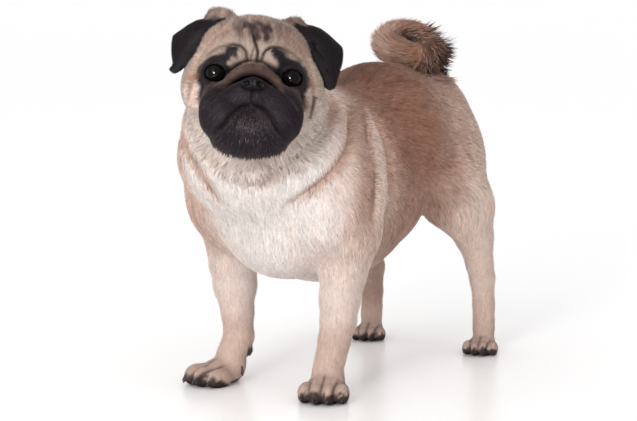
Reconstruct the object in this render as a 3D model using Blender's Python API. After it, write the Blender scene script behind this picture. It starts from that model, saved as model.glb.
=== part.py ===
"""A standing pug, life size, cut into the lengths that a still museum model is built from."""
import bpy
import numpy as np

# Driving dimensions, in metres. The pug faces -Y, its left side is +X.
floorAt = -0.006
gap = 0.0003
netFine = 0.0016
netCoarse = 0.0026
bodyTriangles = 8800
lidWeight = 0.55
faceWeight = 0.72
pawWeight = 0.80
earHalf = 0.0015
eyeRadius = 0.0108
clawLength = 0.0105
clawRadius = 0.0023

# The trunk, as overlapping masses: centre, half sizes, softness of the join.
trunk = {
    "ribcage": ((0.0, -0.045, 0.1905), (0.087, 0.118, 0.0995), 0.020),
    "loin": ((0.0, 0.041, 0.2075), (0.066, 0.064, 0.0960), 0.020),
    "waist": ((0.0, 0.045, 0.224), (0.078, 0.090, 0.068), 0.020),
    "back": ((0.0, 0.064, 0.249), (0.060, 0.100, 0.054), 0.020),
    "rump": ((0.0, 0.122, 0.226), (0.069, 0.060, 0.075), 0.020),
    "forechest": ((0.0, -0.128, 0.188), (0.068, 0.052, 0.080), 0.030),
    "ruff": ((-0.004, -0.140, 0.224), (0.090, 0.083, 0.064), 0.018),
    "nape": ((-0.012, -0.160, 0.255), (0.060, 0.060, 0.058), 0.015),
    "beard": ((0.028, -0.216, 0.221), (0.023, 0.013, 0.012), 0.006),
}
withers = ((0.0, -0.080, 0.2135), (0.0, -0.150, 0.247), 0.073, 0.071)

# Each foreleg from the elbow to the paw: joints, half thickness, and the way the paw points.
foreLegs = {
    1: {
        "joints": [(0.068, -0.108, 0.150), (0.0665, -0.112, 0.115), (0.0645, -0.115, 0.088),
                   (0.0635, -0.116, 0.068), (0.0612, -0.119, 0.048), (0.0585, -0.1265, 0.020)],
        "thick": [0.034, 0.0230, 0.0200, 0.0177, 0.0156, 0.0155], "heading": 26},
    -1: {
        "joints": [(-0.071, -0.105, 0.150), (-0.0695, -0.108, 0.112), (-0.0660, -0.110, 0.089),
                   (-0.0615, -0.112, 0.062), (-0.0585, -0.114, 0.038), (-0.0610, -0.1235, 0.020)],
        "thick": [0.034, 0.0245, 0.0218, 0.0164, 0.0150, 0.0155], "heading": -14},
}
hindJoints = [(0.0680, 0.1415, 0.114), (0.0700, 0.1465, 0.090), (0.0705, 0.152, 0.073),
              (0.0715, 0.1540, 0.045), (0.0720, 0.1535, 0.018)]
hindThick = [0.0195, 0.0146, 0.0136, 0.0116, 0.0125]
hindHeading = {1: 21, -1: 24}
forePaw = 1.04
hindPaw = 0.80

# Toes of one paw: across, forward, up.
toes = [(0.0172, -0.0290, 0.0080), (0.0061, -0.0375, 0.0092),
        (-0.0061, -0.0375, 0.0092), (-0.0172, -0.0290, 0.0080)]

# The tail, a tight coil lying on the rump.
tailMiddle = (0.000, 0.114, 0.322)
tailLift = 27.0
tailRoot = [(0.0, 0.134, 0.258), (0.002, 0.142, 0.282)]
tailTurns = (-15, -400)

# The head, turned toward the pug's left.
headAt = (0.022, -0.198, 0.308)
headYaw = 36.5
headPitch = -6.0
headRoll = 4.0
eyeAt = (0.0348, -0.0430, -0.0010)
noseRoll = [(0.0, -0.0630, 0.0040), (0.011, -0.0620, 0.0015), (0.021, -0.0590, -0.0040),
            (0.030, -0.0540, -0.0115), (0.038, -0.0465, -0.0200), (0.043, -0.039, -0.030)]

# Creases of the face in the head's X and Z, the same on both sides: points, depth, half width.
faceCreases = [
    # over the nose roll
    ([(0, 0.0115), (0.006, 0.0118), (0.012, 0.0090), (0.018, 0.0045), (0.024, -0.0005),
      (0.030, -0.0070), (0.037, -0.0125)], 0.0036, 0.0020),
    # under the nose roll
    ([(0, -0.0015), (0.010, -0.0045), (0.017, -0.0095), (0.025, -0.0155), (0.033, -0.0225),
      (0.040, -0.0320), (0.043, -0.044)], 0.0028, 0.0022),
    # round the brow
    ([(0.0060, 0.0115), (0.0072, 0.0165), (0.0085, 0.0205), (0.0124, 0.0240), (0.0183, 0.0255),
      (0.0257, 0.0245), (0.0330, 0.0215), (0.0406, 0.0170), (0.047, 0.0095), (0.050, 0.0)], 0.0034, 0.0018),
    # mouth
    ([(0, -0.0270), (0.0090, -0.0300), (0.0160, -0.0360), (0.0210, -0.0430), (0.0260, -0.0500),
      (0.0330, -0.0560)], 0.0045, 0.0017),
    # from the nose to the mouth
    ([(0, -0.0160), (0, -0.0270)], 0.0022, 0.0013),
    # temple
    ([(0.0257, 0.0400), (0.0360, 0.0330), (0.0450, 0.0220), (0.0520, 0.0080), (0.0560, -0.0080),
      (0.0570, -0.0240), (0.0550, -0.0400)], 0.0024, 0.0028),
    # cheek
    ([(0.0440, -0.0010), (0.0480, -0.0120), (0.0500, -0.0240), (0.0500, -0.0380), (0.0460, -0.0520)],
     0.0022, 0.0026),
]
# Creases of the forehead, each where it is in the photo.
browCreases = [
    ([(0.0012, 0.0100), (0.0028, 0.0180), (0.0010, 0.0250), (-0.0018, 0.0335), (-0.0046, 0.0410)],
     0.0040, 0.0019),
    ([(-0.0030, 0.0120), (-0.0022, 0.0190), (-0.0020, 0.0230)], 0.0016, 0.0013),
    ([(0.0100, 0.0300), (0.0130, 0.0370), (0.0120, 0.0450)], 0.0016, 0.0026),
    ([(-0.0120, 0.0310), (-0.0160, 0.0380), (-0.0150, 0.0460)], 0.0016, 0.0026),
]
# Folds of the neck and shoulder: a point, the way the fold's plane faces, depth, half width, reach.
bodyFolds = [
    ((0.062, -0.166, 0.246), (0.17, 0.56, -0.81), 0.0060, 0.0055, 0.080),
    ((-0.035, -0.213, 0.225), (0.71, 0.45, 0.54), 0.0050, 0.0055, 0.050),
    ((0.071, -0.138, 0.231), (0.19, 0.62, -0.76), 0.0055, 0.0055, 0.075),
    ((0.087, -0.094, 0.222), (0.60, 0.78, -0.17), 0.0045, 0.0050, 0.068),
    ((0.080, -0.054, 0.230), (-0.13, 0.98, -0.16), 0.0040, 0.0050, 0.050),
    ((-0.075, -0.140, 0.232), (-0.19, 0.62, -0.76), 0.0045, 0.0055, 0.060),
    ((-0.087, -0.094, 0.222), (-0.60, 0.78, -0.17), 0.0040, 0.0050, 0.060),
]

# An ear is a folded sheet: rows from the skull over the fold to the tip, each front, middle, back.
earRows = [
    [(0.030, 0.002, 0.042), (0.044, 0.018, 0.034), (0.052, 0.030, 0.016)],
    [(0.034, -0.002, 0.0500), (0.056, 0.014, 0.0460), (0.070, 0.027, 0.0290)],
    [(0.037, -0.010, 0.0510), (0.060, 0.003, 0.0480), (0.0800, 0.019, 0.0345)],
    [(0.041, -0.0130, 0.0440), (0.0635, -0.0060, 0.0385), (0.0825, 0.010, 0.0265)],
    [(0.0495, -0.0100, 0.0290), (0.0670, -0.0070, 0.0240), (0.0810, 0.004, 0.0130)],
    [(0.0590, -0.0050, 0.0120), (0.0700, -0.0040, 0.0080), (0.0785, 0.001, 0.0035)],
    [(0.0670, -0.0020, -0.0045), (0.0725, -0.0020, -0.0075), (0.0765, -0.001, -0.0050)],
]

# The cuts between the nodes: a point, the way the node lies from the cut, and the reach in Y.
cuts = {
    "head": ((0.005, -0.175, 0.266), (0.327, -0.485, 0.811), (-0.40, 0.02)),
    "neck": ((0.0, -0.135, 0.245), (0.0, -0.677, 0.736), (-0.40, 0.02)),
    "foreleg_left": ((0.060, -0.115, 0.128), (0.68, 0.0, -0.733), (-0.24, -0.072)),
    "foreleg_right": ((-0.060, -0.115, 0.128), (-0.68, 0.0, -0.733), (-0.24, -0.072)),
    "hindleg_left": ((0.0525, 0.12, 0.175), (0.733, 0.0, -0.68), (0.052, 0.30)),
    "hindleg_right": ((-0.0525, 0.12, 0.175), (-0.733, 0.0, -0.68), (0.052, 0.30)),
    "tail_base": ((0.0, 0.12, 0.304), (0.0, 0.148, 0.989), (0.072, 0.30)),
}


def unit(v):
    v = np.asarray(v, float)
    return v / np.linalg.norm(v)


def turnAbout(axis, degrees):
    c = np.cos(np.radians(degrees))
    s = np.sin(np.radians(degrees))
    if axis == "X":
        return np.array([[1, 0, 0], [0, c, -s], [0, s, c]])
    if axis == "Y":
        return np.array([[c, 0, s], [0, 1, 0], [-s, 0, c]])
    return np.array([[c, -s, 0], [s, c, 0], [0, 0, 1]])


headTurn = turnAbout("Z", headYaw) @ turnAbout("X", headPitch) @ turnAbout("Y", headRoll)


def ball(p, centre, radii):
    """Distance to an ellipsoid, near enough for blending."""
    q = (p - np.asarray(centre)) / np.asarray(radii)
    k0 = np.sqrt((q * q).sum(1)) + 1e-9
    q = q / np.asarray(radii)
    k1 = np.sqrt((q * q).sum(1)) + 1e-9
    return k0 * (k0 - 1.0) / k1


def limb(p, a, b, ra, rb):
    """Distance to a round length from a to b that tapers from ra to rb."""
    a = np.asarray(a, float)
    ab = np.asarray(b, float) - a
    t = np.clip(((p - a) @ ab) / (ab @ ab), 0, 1)
    d = p - a - t[:, None] * ab
    return np.sqrt((d * d).sum(1)) - (ra + (rb - ra) * t)


def softUnion(f, g, k):
    """The nearer of two distances, rounded over k where they meet."""
    h = np.maximum(k - np.abs(f - g), 0) / k
    return np.minimum(f, g) - h * h * k / 4


def smoothPath(points, count):
    """A Catmull-Rom curve through the points."""
    pts = np.asarray(points, float)
    ext = np.vstack([2 * pts[0] - pts[1], pts, 2 * pts[-1] - pts[-2]])
    t = np.linspace(0, len(pts) - 1, count)
    i = np.minimum(t.astype(int), len(pts) - 2)
    u = (t - i)[:, None]
    a, b, c, d = ext[i], ext[i + 1], ext[i + 2], ext[i + 3]
    return 0.5 * (2 * b + (c - a) * u + (2 * a - 5 * b + 4 * c - d) * u ** 2 + (3 * b - a - 3 * c + d) * u ** 3)


def pathDistance(p, path):
    """Distance to a run of straight pieces, and how far along it, from 0 to 1."""
    best = np.full(len(p), 9.0)
    along = np.zeros(len(p))
    n = len(path) - 1
    for i in range(n):
        a = path[i]
        ab = path[i + 1] - a
        t = np.clip(((p - a) @ ab) / (ab @ ab + 1e-18), 0, 1)
        d = p - a - t[:, None] * ab
        d = (d * d).sum(1)
        near = d < best
        best = np.where(near, d, best)
        along = np.where(near, (i + t) / n, along)
    return np.sqrt(best), along


def groove(p, points, depth, wide, count):
    """How far a crease pushes the surface in, fading at its ends."""
    d, t = pathDistance(p, smoothPath(points, count))
    return depth * np.exp(-(d / wide) ** 2) * np.minimum(1, 4 * np.minimum(t + 0.15, 1.02 - t))


def paw(p, at, heading, size):
    q = (p - np.array([at[0], at[1], floorAt])) @ turnAbout("Z", heading) / size
    f = ball(q, (0, -0.012, 0.0105), (0.0185, 0.024, 0.0138))
    f = softUnion(f, ball(q, (0, 0.004, 0.010), (0.0150, 0.012, 0.0125)), 0.006)
    for toe in toes:
        f = softUnion(f, ball(q, toe, (0.0073, 0.0150, 0.0104)), 0.0035)
    return f * size


def foreLeg(p, side):
    leg = foreLegs[side]
    joints = leg["joints"]
    thick = leg["thick"]
    f = ball(p, (side * 0.062, -0.118, 0.188), (0.043, 0.056, 0.060))
    for i in range(len(joints) - 1):
        part = limb(p, joints[i], joints[i + 1], thick[i], thick[i + 1])
        f = softUnion(f, part, 0.012 if i == 0 else 0.004)
    f = softUnion(f, paw(p, joints[-1], leg["heading"], forePaw), 0.008)
    # carpal pad
    return softUnion(f, ball(p, (side * 0.0570, -0.1015, 0.041), (0.006, 0.006, 0.008)), 0.006)


def hindLeg(p, side):
    f = ball(p, (side * 0.050, 0.114, 0.194), (0.033, 0.056, 0.064))
    f = softUnion(f, ball(p, (side * 0.064, 0.131, 0.150), (0.0250, 0.0395, 0.037)), 0.012)
    joints = [(side * x, y, z) for x, y, z in hindJoints]
    for i in range(len(joints) - 1):
        part = limb(p, joints[i], joints[i + 1], hindThick[i], hindThick[i + 1])
        f = softUnion(f, part, 0.016 if i == 0 else 0.004)
    return softUnion(f, paw(p, joints[-1], hindHeading[side], hindPaw), 0.006)


def tailFrame():
    c = np.cos(np.radians(tailLift))
    across = np.array([0.826, 0.5637, 0.0])
    up = np.array([-0.5637 * c, 0.826 * c, np.sin(np.radians(tailLift))])
    return across, up, np.cross(across, up)


def tail(p):
    across, up, out = tailFrame()
    share = np.linspace(0, 1, 40)
    turn = np.radians(tailTurns[0] + (tailTurns[1] - tailTurns[0]) * share)
    reach = 0.0270 - 0.011 * share ** 1.5 - 0.005 * np.exp(-((share - 0.325) / 0.11) ** 2)
    coil = np.array(tailMiddle) + (reach * np.cos(turn))[:, None] * across
    coil = coil + (reach * np.sin(turn))[:, None] * up + (0.004 * share)[:, None] * out
    path = np.vstack([tailRoot, coil])
    swell = 0.0145 + 0.0030 * np.sin(np.pi * np.clip(share * 1.3, 0, 1)) - 0.006 * share ** 3
    thick = np.concatenate([[0.019, 0.017], swell])
    f = np.full(len(p), 9.0)
    for i in range(len(path) - 1):
        f = np.minimum(f, limb(p, path[i], path[i + 1], thick[i], thick[i + 1]))
    return f


def head(q):
    """The head in its own frame, where the face looks along -Y."""
    m = q.copy()
    m[:, 0] = np.abs(m[:, 0])
    f = ball(q, (0, 0.008, 0.008), (0.056, 0.056, 0.049))
    f = softUnion(f, ball(q, (0, -0.022, 0.019), (0.046, 0.034, 0.035)), 0.012)
    # cheeks, sides of the skull, throat
    f = softUnion(f, ball(m, (0.038, 0.002, -0.012), (0.0295, 0.046, 0.034)), 0.010)
    f = softUnion(f, ball(m, (0.027, 0.002, 0.028), (0.024, 0.028, 0.022)), 0.010)
    f = softUnion(f, ball(q, (0, -0.012, -0.038), (0.044, 0.044, 0.032)), 0.012)
    # root of each ear
    f = softUnion(f, ball(m, (0.036, 0.006, 0.048), (0.012, 0.013, 0.0105)), 0.008)
    f = softUnion(f, ball(q, (-0.034, 0.007, 0.0515), (0.014, 0.013, 0.0105)), 0.008)
    # flews, bridge, chin, under the jaw
    f = softUnion(f, ball(m, (0.0250, -0.0530, -0.0370), (0.0240, 0.0265, 0.0260)), 0.006)
    f = softUnion(f, ball(q, (0, -0.058, -0.020), (0.030, 0.019, 0.016)), 0.006)
    f = softUnion(f, ball(q, (0, -0.0555, -0.0490), (0.021, 0.0215, 0.0155)), 0.004)
    f = softUnion(f, ball(q, (0, -0.036, -0.060), (0.036, 0.030, 0.017)), 0.010)
    # the roll over the nose, the brows, the nose
    d, t = pathDistance(m, smoothPath(noseRoll, 9))
    f = softUnion(f, d - (0.0064 - 0.001 * t), 0.004)
    f = softUnion(f, ball(m, (0.0170, -0.0500, 0.0150), (0.0115, 0.0095, 0.0105)), 0.005)
    f = softUnion(f, ball(q, (0, -0.0740, -0.0088), (0.0122, 0.0085, 0.0080)), 0.0025)
    front = np.clip((0.012 - q[:, 1]) / 0.012, 0, 1)
    for points, depth, wide in faceCreases:
        f = f + groove(m[:, [0, 2]], points, depth, wide, 12) * front
    for points, depth, wide in browCreases:
        f = f + groove(q[:, [0, 2]], points, depth, wide, 8) * front
    # lids round an almond opening
    f = softUnion(f, ball(m, eyeAt, (eyeRadius + 0.0029,) * 3), 0.004)
    a = m - np.array(eyeAt)
    opening = (np.sqrt((a[:, 0] / 0.0095) ** 2 + ((a[:, 2] + 0.0003) / 0.0078) ** 2) - 1) * 0.0078
    f = np.maximum(f, -np.maximum(opening, a[:, 1] + 0.002))
    # nostrils
    for x, z in ((0.0056, -0.0090), (0.0074, -0.0100)):
        f = np.maximum(f, -ball(m, (x, -0.0815, z), (0.0022, 0.0050, 0.0020)))
    return f


def pug(p):
    """Distance to the outside of the coat, without the ears: negative inside."""
    f = np.full(len(p), 9.0)
    for centre, radii, soft in trunk.values():
        f = softUnion(f, ball(p, centre, radii), soft)
    f = softUnion(f, limb(p, *withers), 0.020)
    for side in (1, -1):
        f = softUnion(f, foreLeg(p, side), 0.015)
        f = softUnion(f, hindLeg(p, side), 0.012)
    f = softUnion(f, tail(p), 0.004)
    for point, facing, depth, wide, reach in bodyFolds:
        w = p - np.array(point)
        far = np.sqrt((w * w).sum(1)) / reach
        f = f + depth * np.exp(-((w @ unit(facing)) / wide) ** 2) * np.clip(2.5 - 2.5 * far, 0, 1)
    q = (p - np.array(headAt)) @ headTurn
    near = (q * q).sum(1) < 0.13 ** 2
    h = np.full(len(p), 9.0)
    h[near] = head(q[near])
    return softUnion(f, h, 0.006)


def ruled(stops, steps):
    """Grid lines from each stop to the next, a step apart."""
    parts = [np.arange(a, b - step / 2, step) for a, b, step in zip(stops, stops[1:], steps)]
    return np.concatenate(parts + [[stops[-1]]])


def tangled():
    """For each pattern of inside corners of a cell, whether the surface would cross the cell twice."""
    corners = [(i >> 2 & 1, i >> 1 & 1, i & 1) for i in range(8)]
    result = np.zeros(256, dtype=bool)
    for pattern in range(256):
        for wanted in (0, 1):
            left = {i for i in range(8) if (pattern >> i & 1) == wanted}
            if not left:
                continue
            reached = {min(left)}
            while True:
                more = {i for i in left for j in reached
                        if sum(abs(a - b) for a, b in zip(corners[i], corners[j])) == 1} | reached
                if more == reached:
                    break
                reached = more
            if reached != left:
                result[pattern] = True
    return result


def untangle(v):
    """Fills the nearest outside corner of each cell that would be crossed twice, until none is left."""
    offsets = np.array([(i >> 2 & 1, i >> 1 & 1, i & 1) for i in range(8)])
    twice = tangled()
    while True:
        inside = v < 0
        pattern = np.zeros([n - 1 for n in v.shape], dtype=np.uint8)
        for i, (a, b, c) in enumerate(offsets):
            part = inside[a:a + pattern.shape[0], b:b + pattern.shape[1], c:c + pattern.shape[2]]
            pattern |= part.astype(np.uint8) << np.uint8(i)
        cells = np.argwhere(twice[pattern])
        if len(cells) == 0:
            return v
        at = cells[:, None, :] + offsets[None]
        values = v[at[..., 0], at[..., 1], at[..., 2]]
        pick = at[np.arange(len(at)), np.where(values < 0, 9.0, values).argmin(1)]
        v[tuple(pick.T)] = -1e-4


def surfaceNet(field, axes):
    """One vertex in each cell that the surface crosses, and one quad round each crossed edge."""
    jump = 4
    rough = [np.append(a[:-1:jump], a[-1]) for a in axes]
    grid = np.stack(np.meshgrid(*rough, indexing="ij"), -1).reshape(-1, 3)
    v = field(grid).reshape([len(a) for a in rough])
    for i in range(3):
        v = np.apply_along_axis(lambda col: np.interp(axes[i], rough[i], col), i, v)
    near = np.abs(v) < netCoarse * jump * 0.9
    at = np.argwhere(near)
    pts = np.stack([axes[i][at[:, i]] for i in range(3)], 1)
    v[near] = np.concatenate([field(pts[i:i + 200000]) for i in range(0, len(pts), 200000)])
    v = untangle(v)
    inside = v < 0
    cells = np.array([len(a) - 1 for a in axes])
    count = np.zeros(int(np.prod(cells)))
    total = np.zeros((len(count), 3))
    quads = []
    for i in range(3):
        j = (i + 1) % 3
        k = (i + 2) % 3
        low = [slice(None)] * 3
        high = [slice(None)] * 3
        low[i] = slice(0, -1)
        high[i] = slice(1, None)
        low = tuple(low)
        high = tuple(high)
        edge = np.argwhere(inside[low] != inside[high])
        keep = (edge[:, j] > 0) & (edge[:, k] > 0) & (edge[:, j] < cells[j]) & (edge[:, k] < cells[k])
        edge = edge[keep]
        a = v[low][tuple(edge.T)]
        b = v[high][tuple(edge.T)]
        pos = np.stack([axes[c][edge[:, c]] for c in range(3)], 1)
        pos[:, i] += a / (a - b) * (axes[i][edge[:, i] + 1] - axes[i][edge[:, i]])
        ring = []
        for dj, dk in ((-1, -1), (0, -1), (0, 0), (-1, 0)):
            cell = edge.copy()
            cell[:, j] += dj
            cell[:, k] += dk
            ring.append((cell[:, 0] * cells[1] + cell[:, 1]) * cells[2] + cell[:, 2])
        ring = np.stack(ring, 1)
        for c in ring.T:
            count += np.bincount(c, minlength=len(count))
            for axis in range(3):
                total[:, axis] += np.bincount(c, weights=pos[:, axis], minlength=len(count))
        quads.append(np.where((a < 0)[:, None], ring, ring[:, ::-1]))
    used = count > 0
    number = np.cumsum(used) - 1
    return total[used] / count[used][:, None], number[np.vstack(quads)]


def settled(field, verts):
    """The vertices moved along the field's slope on to its zero level."""
    eps = 2e-4
    for _ in range(2):
        f = field(verts)
        slope = np.stack([field(verts + np.eye(3)[i] * eps) - f for i in range(3)], 1) / eps
        step = f[:, None] * slope / np.maximum((slope * slope).sum(1), 0.2)[:, None]
        size = np.linalg.norm(step, axis=1)
        verts = verts - step * np.minimum(1, 0.0015 / np.maximum(size, 1e-12))[:, None]
    return verts


def earSheet(side):
    """Points of an ear's middle surface, in the body's frame."""
    rows = np.array(earRows, float)
    lines = np.stack([smoothPath(rows[:, c], 19) for c in range(3)], 1)
    sheet = np.stack([smoothPath(line, 8) for line in lines], 0)
    if side < 0:
        drop = np.linspace(0, 1, len(sheet))[:, None]
        sheet[..., 0] += np.interp(drop, (0, 0.33, 0.5, 0.83, 1), (0, -0.0040, -0.0050, -0.0035, 0.0015))
        sheet[..., 2] += 0.006 * drop - 0.002 + 0.002 * drop ** 5
    sheet[..., 0] *= side
    return sheet


def earMesh(side):
    """The ear's sheet given its thickness, closed round the rim."""
    sheet = earSheet(side)
    rows, cols = sheet.shape[:2]
    out = np.cross(np.gradient(sheet, axis=0), np.gradient(sheet, axis=1))
    out /= np.linalg.norm(out, axis=2)[..., None]
    verts = np.vstack([(sheet + out * earHalf).reshape(-1, 3), (sheet - out * earHalf).reshape(-1, 3)])
    n = rows * cols
    at = np.arange(n).reshape(rows, cols)
    a, b, c, d = at[:-1, :-1].ravel(), at[1:, :-1].ravel(), at[1:, 1:].ravel(), at[:-1, 1:].ravel()
    rim = np.concatenate([at[:, 0], at[-1, 1:], at[-2::-1, -1], at[0, -2:0:-1]])
    after = np.roll(rim, -1)
    faces = np.vstack([np.stack([a, b, c, d], 1), np.stack([a + n, d + n, c + n, b + n], 1),
                       np.stack([rim, rim + n, after + n, after], 1)])
    if side < 0:
        faces = faces[:, ::-1]
    return verts @ headTurn.T + np.array(headAt), faces


def addObject(name, verts, faces):
    mesh = bpy.data.meshes.new(name)
    mesh.from_pydata(np.asarray(verts).tolist(), [], [[int(v) for v in face] for face in faces])
    mesh.validate()
    thing = bpy.data.objects.new(name, mesh)
    bpy.context.scene.collection.objects.link(thing)
    return thing


def bake(thing):
    """Leaves the object's modifiers in its mesh."""
    shaped = thing.evaluated_get(bpy.context.evaluated_depsgraph_get())
    mesh = bpy.data.meshes.new_from_object(shaped)
    thing.modifiers.clear()
    old = thing.data
    thing.data = mesh
    bpy.data.meshes.remove(old)


def boolean(thing, other, operation, solver="EXACT"):
    mod = thing.modifiers.new("cut", "BOOLEAN")
    mod.operation = operation
    mod.object = other
    mod.solver = solver
    bpy.context.view_layer.update()
    bake(thing)


def copyOf(thing, name):
    twin = bpy.data.objects.new(name, thing.data.copy())
    bpy.context.scene.collection.objects.link(twin)
    return twin


def remove(thing):
    bpy.data.objects.remove(thing, do_unlink=True)


def prism(corners, low, high):
    """A closed prism over corners given in X and Z, from low to high in Y."""
    n = len(corners)
    verts = [(x, low, z) for x, z in corners] + [(x, high, z) for x, z in corners]
    faces = [tuple(range(n)), tuple(range(2 * n - 1, n - 1, -1))]
    faces += [(i, i + n, (i + 1) % n + n, (i + 1) % n) for i in range(n)]
    return addObject("cell", verts, faces)


def slabCell(point, facing, reachY, grow):
    """What lies from a cut along facing, kept to the reach in Y, grown by a margin."""
    z = unit(facing)
    point = np.array(point) - z * grow
    if z[0] and not z[1]:
        # a leg: below a slanting line and on its own side of the body
        side = np.sign(z[0])
        inner = side * 0.002 - side * grow
        outer = side * 0.2
        corners = [(x, point[2] - (x - point[0]) * z[0] / z[2]) for x in (inner, outer)]
        corners += [(outer, -0.1), (inner, -0.1)]
        if side > 0:
            corners = corners[::-1]
        return prism(corners, reachY[0] - grow, reachY[1] + grow)
    x = unit(np.cross((0, 1, 0), z))
    y = np.cross(z, x)
    low = -0.4
    high = 0.4
    if z[2] > 0.9:
        low = reachY[0] - point[1] - grow
        high = reachY[1] - point[1] + grow
    corners = []
    for up in (0, 0.5):
        for across, along in ((-0.4, low), (0.4, low), (0.4, high), (-0.4, high)):
            corners.append(point + x * across + y * along + z * up)
    faces = [(0, 3, 2, 1), (4, 5, 6, 7), (0, 1, 5, 4), (1, 2, 6, 5), (2, 3, 7, 6), (3, 0, 4, 7)]
    return addObject("cell", corners, faces)


def biggest(thing):
    """Keeps only the largest closed piece of the mesh."""
    mesh = thing.data
    n = len(mesh.vertices)
    link = np.arange(n)
    ends = np.empty(len(mesh.edges) * 2, dtype=np.int64)
    mesh.edges.foreach_get("vertices", ends)
    ends = ends.reshape(-1, 2)
    while True:
        low = np.minimum(link[ends[:, 0]], link[ends[:, 1]])
        before = link.copy()
        np.minimum.at(link, ends[:, 0], low)
        np.minimum.at(link, ends[:, 1], low)
        link = link[link]
        if (link == before).all():
            break
    best = np.bincount(link).argmax()
    drop = link != best
    if not drop.any():
        return
    keep = np.flatnonzero(~drop)
    number = np.full(n, -1)
    number[keep] = np.arange(len(keep))
    co = np.empty(n * 3)
    mesh.vertices.foreach_get("co", co)
    faces = [[int(number[v]) for v in f.vertices] for f in mesh.polygons if not drop[f.vertices[0]]]
    fresh = bpy.data.meshes.new(thing.name)
    fresh.from_pydata(co.reshape(-1, 3)[keep].tolist(), [], faces)
    thing.data = fresh
    bpy.data.meshes.remove(mesh)


def sphereMesh(centre, radius, around, up):
    """A ball with its poles along the line of sight, closed at both."""
    ring = np.arange(around) * 2 * np.pi / around
    rise = np.pi * np.arange(1, up) / up
    pts = [(0, -1, 0)]
    for r in rise:
        pts += [(np.sin(r) * np.cos(t), -np.cos(r), np.sin(r) * np.sin(t)) for t in ring]
    pts.append((0, 1, 0))
    faces = []
    last = len(pts) - 1
    for i in range(around):
        j = (i + 1) % around
        faces.append((0, 1 + i, 1 + j))
        for k in range(up - 2):
            a = 1 + k * around
            faces.append((a + i, a + around + i, a + around + j, a + j))
        a = 1 + (up - 2) * around
        faces.append((last, a + j, a + i))
    return np.array(pts) @ headTurn.T * radius + np.array(centre), faces


def clawMesh(root, along, radius, length):
    """A short curved claw, eight-sided, closed at both ends."""
    along = unit(along)
    side = unit(np.cross(along, (0, 0, 1)))
    lift = np.cross(side, along)
    verts = []
    for share, wide, sink in ((0.0, 1.0, 0.0), (0.45, 0.85, 0.02), (0.8, 0.55, 0.10), (1.0, 0.22, 0.22)):
        middle = np.array(root) + along * length * share - lift * length * sink
        for t in np.arange(8) * np.pi / 4:
            verts.append(middle + (side * np.cos(t) * 0.8 + lift * np.sin(t)) * radius * wide)
    faces = [tuple(range(8)), tuple(range(31, 23, -1))]
    for k in range(3):
        for i in range(8):
            j = (i + 1) % 8
            faces.append((k * 8 + i, (k + 1) * 8 + i, (k + 1) * 8 + j, k * 8 + j))
    return verts, faces


def clawsOf(leg, side):
    """Roots and directions of a leg's claws in the body's frame."""
    if leg == "foreleg":
        at = foreLegs[side]["joints"][-1]
        turn = turnAbout("Z", foreLegs[side]["heading"])
        size = forePaw
    else:
        at = (side * hindJoints[-1][0], hindJoints[-1][1])
        turn = turnAbout("Z", hindHeading[side])
        size = hindPaw
    ground = np.array([at[0], at[1], floorAt])
    found = []
    for x, y, z in toes:
        root = turn @ (np.array([x * 1.04, y - 0.0085, z + 0.0015]) * size) + ground
        found.append((root, turn @ np.array([x * 4, -0.9, -0.42]), clawRadius * size, clawLength * size))
    if leg == "foreleg":
        root = np.array([at[0] - side * 0.0125, at[1] - 0.001, 0.0245])
        found.append((root, (-side * 0.45, -0.35, -0.82), 0.0022, 0.0115))
    return found


for thing in list(bpy.data.objects):
    bpy.data.objects.remove(thing, do_unlink=True)

print("body")
axes = [ruled((-0.135, 0.135), (netFine,)),
        ruled((-0.31, -0.285, -0.15, 0.24), (netCoarse, netFine, netCoarse)),
        ruled((-0.012, 0.036, 0.225, 0.370, 0.40), (netFine, netCoarse, netFine, netCoarse))]
verts, faces = surfaceNet(pug, axes)
verts = settled(pug, verts)
body = addObject("body", verts, faces)
# the lids are thinned least, then the face and the paws
weight = np.ones(len(verts))
local = (verts - np.array(headAt)) @ headTurn
weight[(np.linalg.norm(local, axis=1) < 0.1) & (local[:, 1] < -0.02)] = faceWeight
weight[verts[:, 2] < 0.022] = pawWeight
for side in (1, -1):
    weight[np.linalg.norm(local - np.array(eyeAt) * (side, 1, 1), axis=1) < eyeRadius + 0.007] = lidWeight
group = body.vertex_groups.new(name="thin")
for value in np.unique(weight):
    group.add(np.flatnonzero(weight == value).tolist(), float(value), "REPLACE")
mod = body.modifiers.new("lighten", "DECIMATE")
mod.ratio = bodyTriangles / (2 * len(faces))
mod.vertex_group = "thin"
mod.vertex_group_factor = 0.1
bpy.context.view_layer.update()
bake(body)
floor = addObject("floor", [(x, y, z) for z in (floorAt - 0.1, floorAt) for x, y in
                            ((-0.5, -0.5), (0.5, -0.5), (0.5, 0.5), (-0.5, 0.5))],
                  [(0, 3, 2, 1), (4, 5, 6, 7), (0, 1, 5, 4), (1, 2, 6, 5), (2, 3, 7, 6), (3, 0, 4, 7)])
boolean(body, floor, "DIFFERENCE")

print("cuts")
nodes = {}
for name, (point, facing, reachY) in cuts.items():
    cell = slabCell(point, facing, reachY, 0.0)
    wide = slabCell(point, facing, reachY, gap)
    node = copyOf(body, name)
    boolean(node, cell, "INTERSECT")
    boolean(body, wide, "DIFFERENCE")
    biggest(node)
    nodes[name] = node
    remove(cell)
    remove(wide)
biggest(body)
body.name = "torso"
nodes["torso"] = body

print("tail")
across = tailFrame()[0]
coil = copyOf(nodes["tail_base"], "tail_curl")
cell = slabCell(tailMiddle, -across, (-9, 9), 0.0)
wide = slabCell(tailMiddle, -across, (-9, 9), gap)
boolean(coil, cell, "INTERSECT")
boolean(nodes["tail_base"], wide, "DIFFERENCE")
biggest(coil)
biggest(nodes["tail_base"])
nodes["tail_curl"] = coil
remove(cell)
remove(wide)

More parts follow.
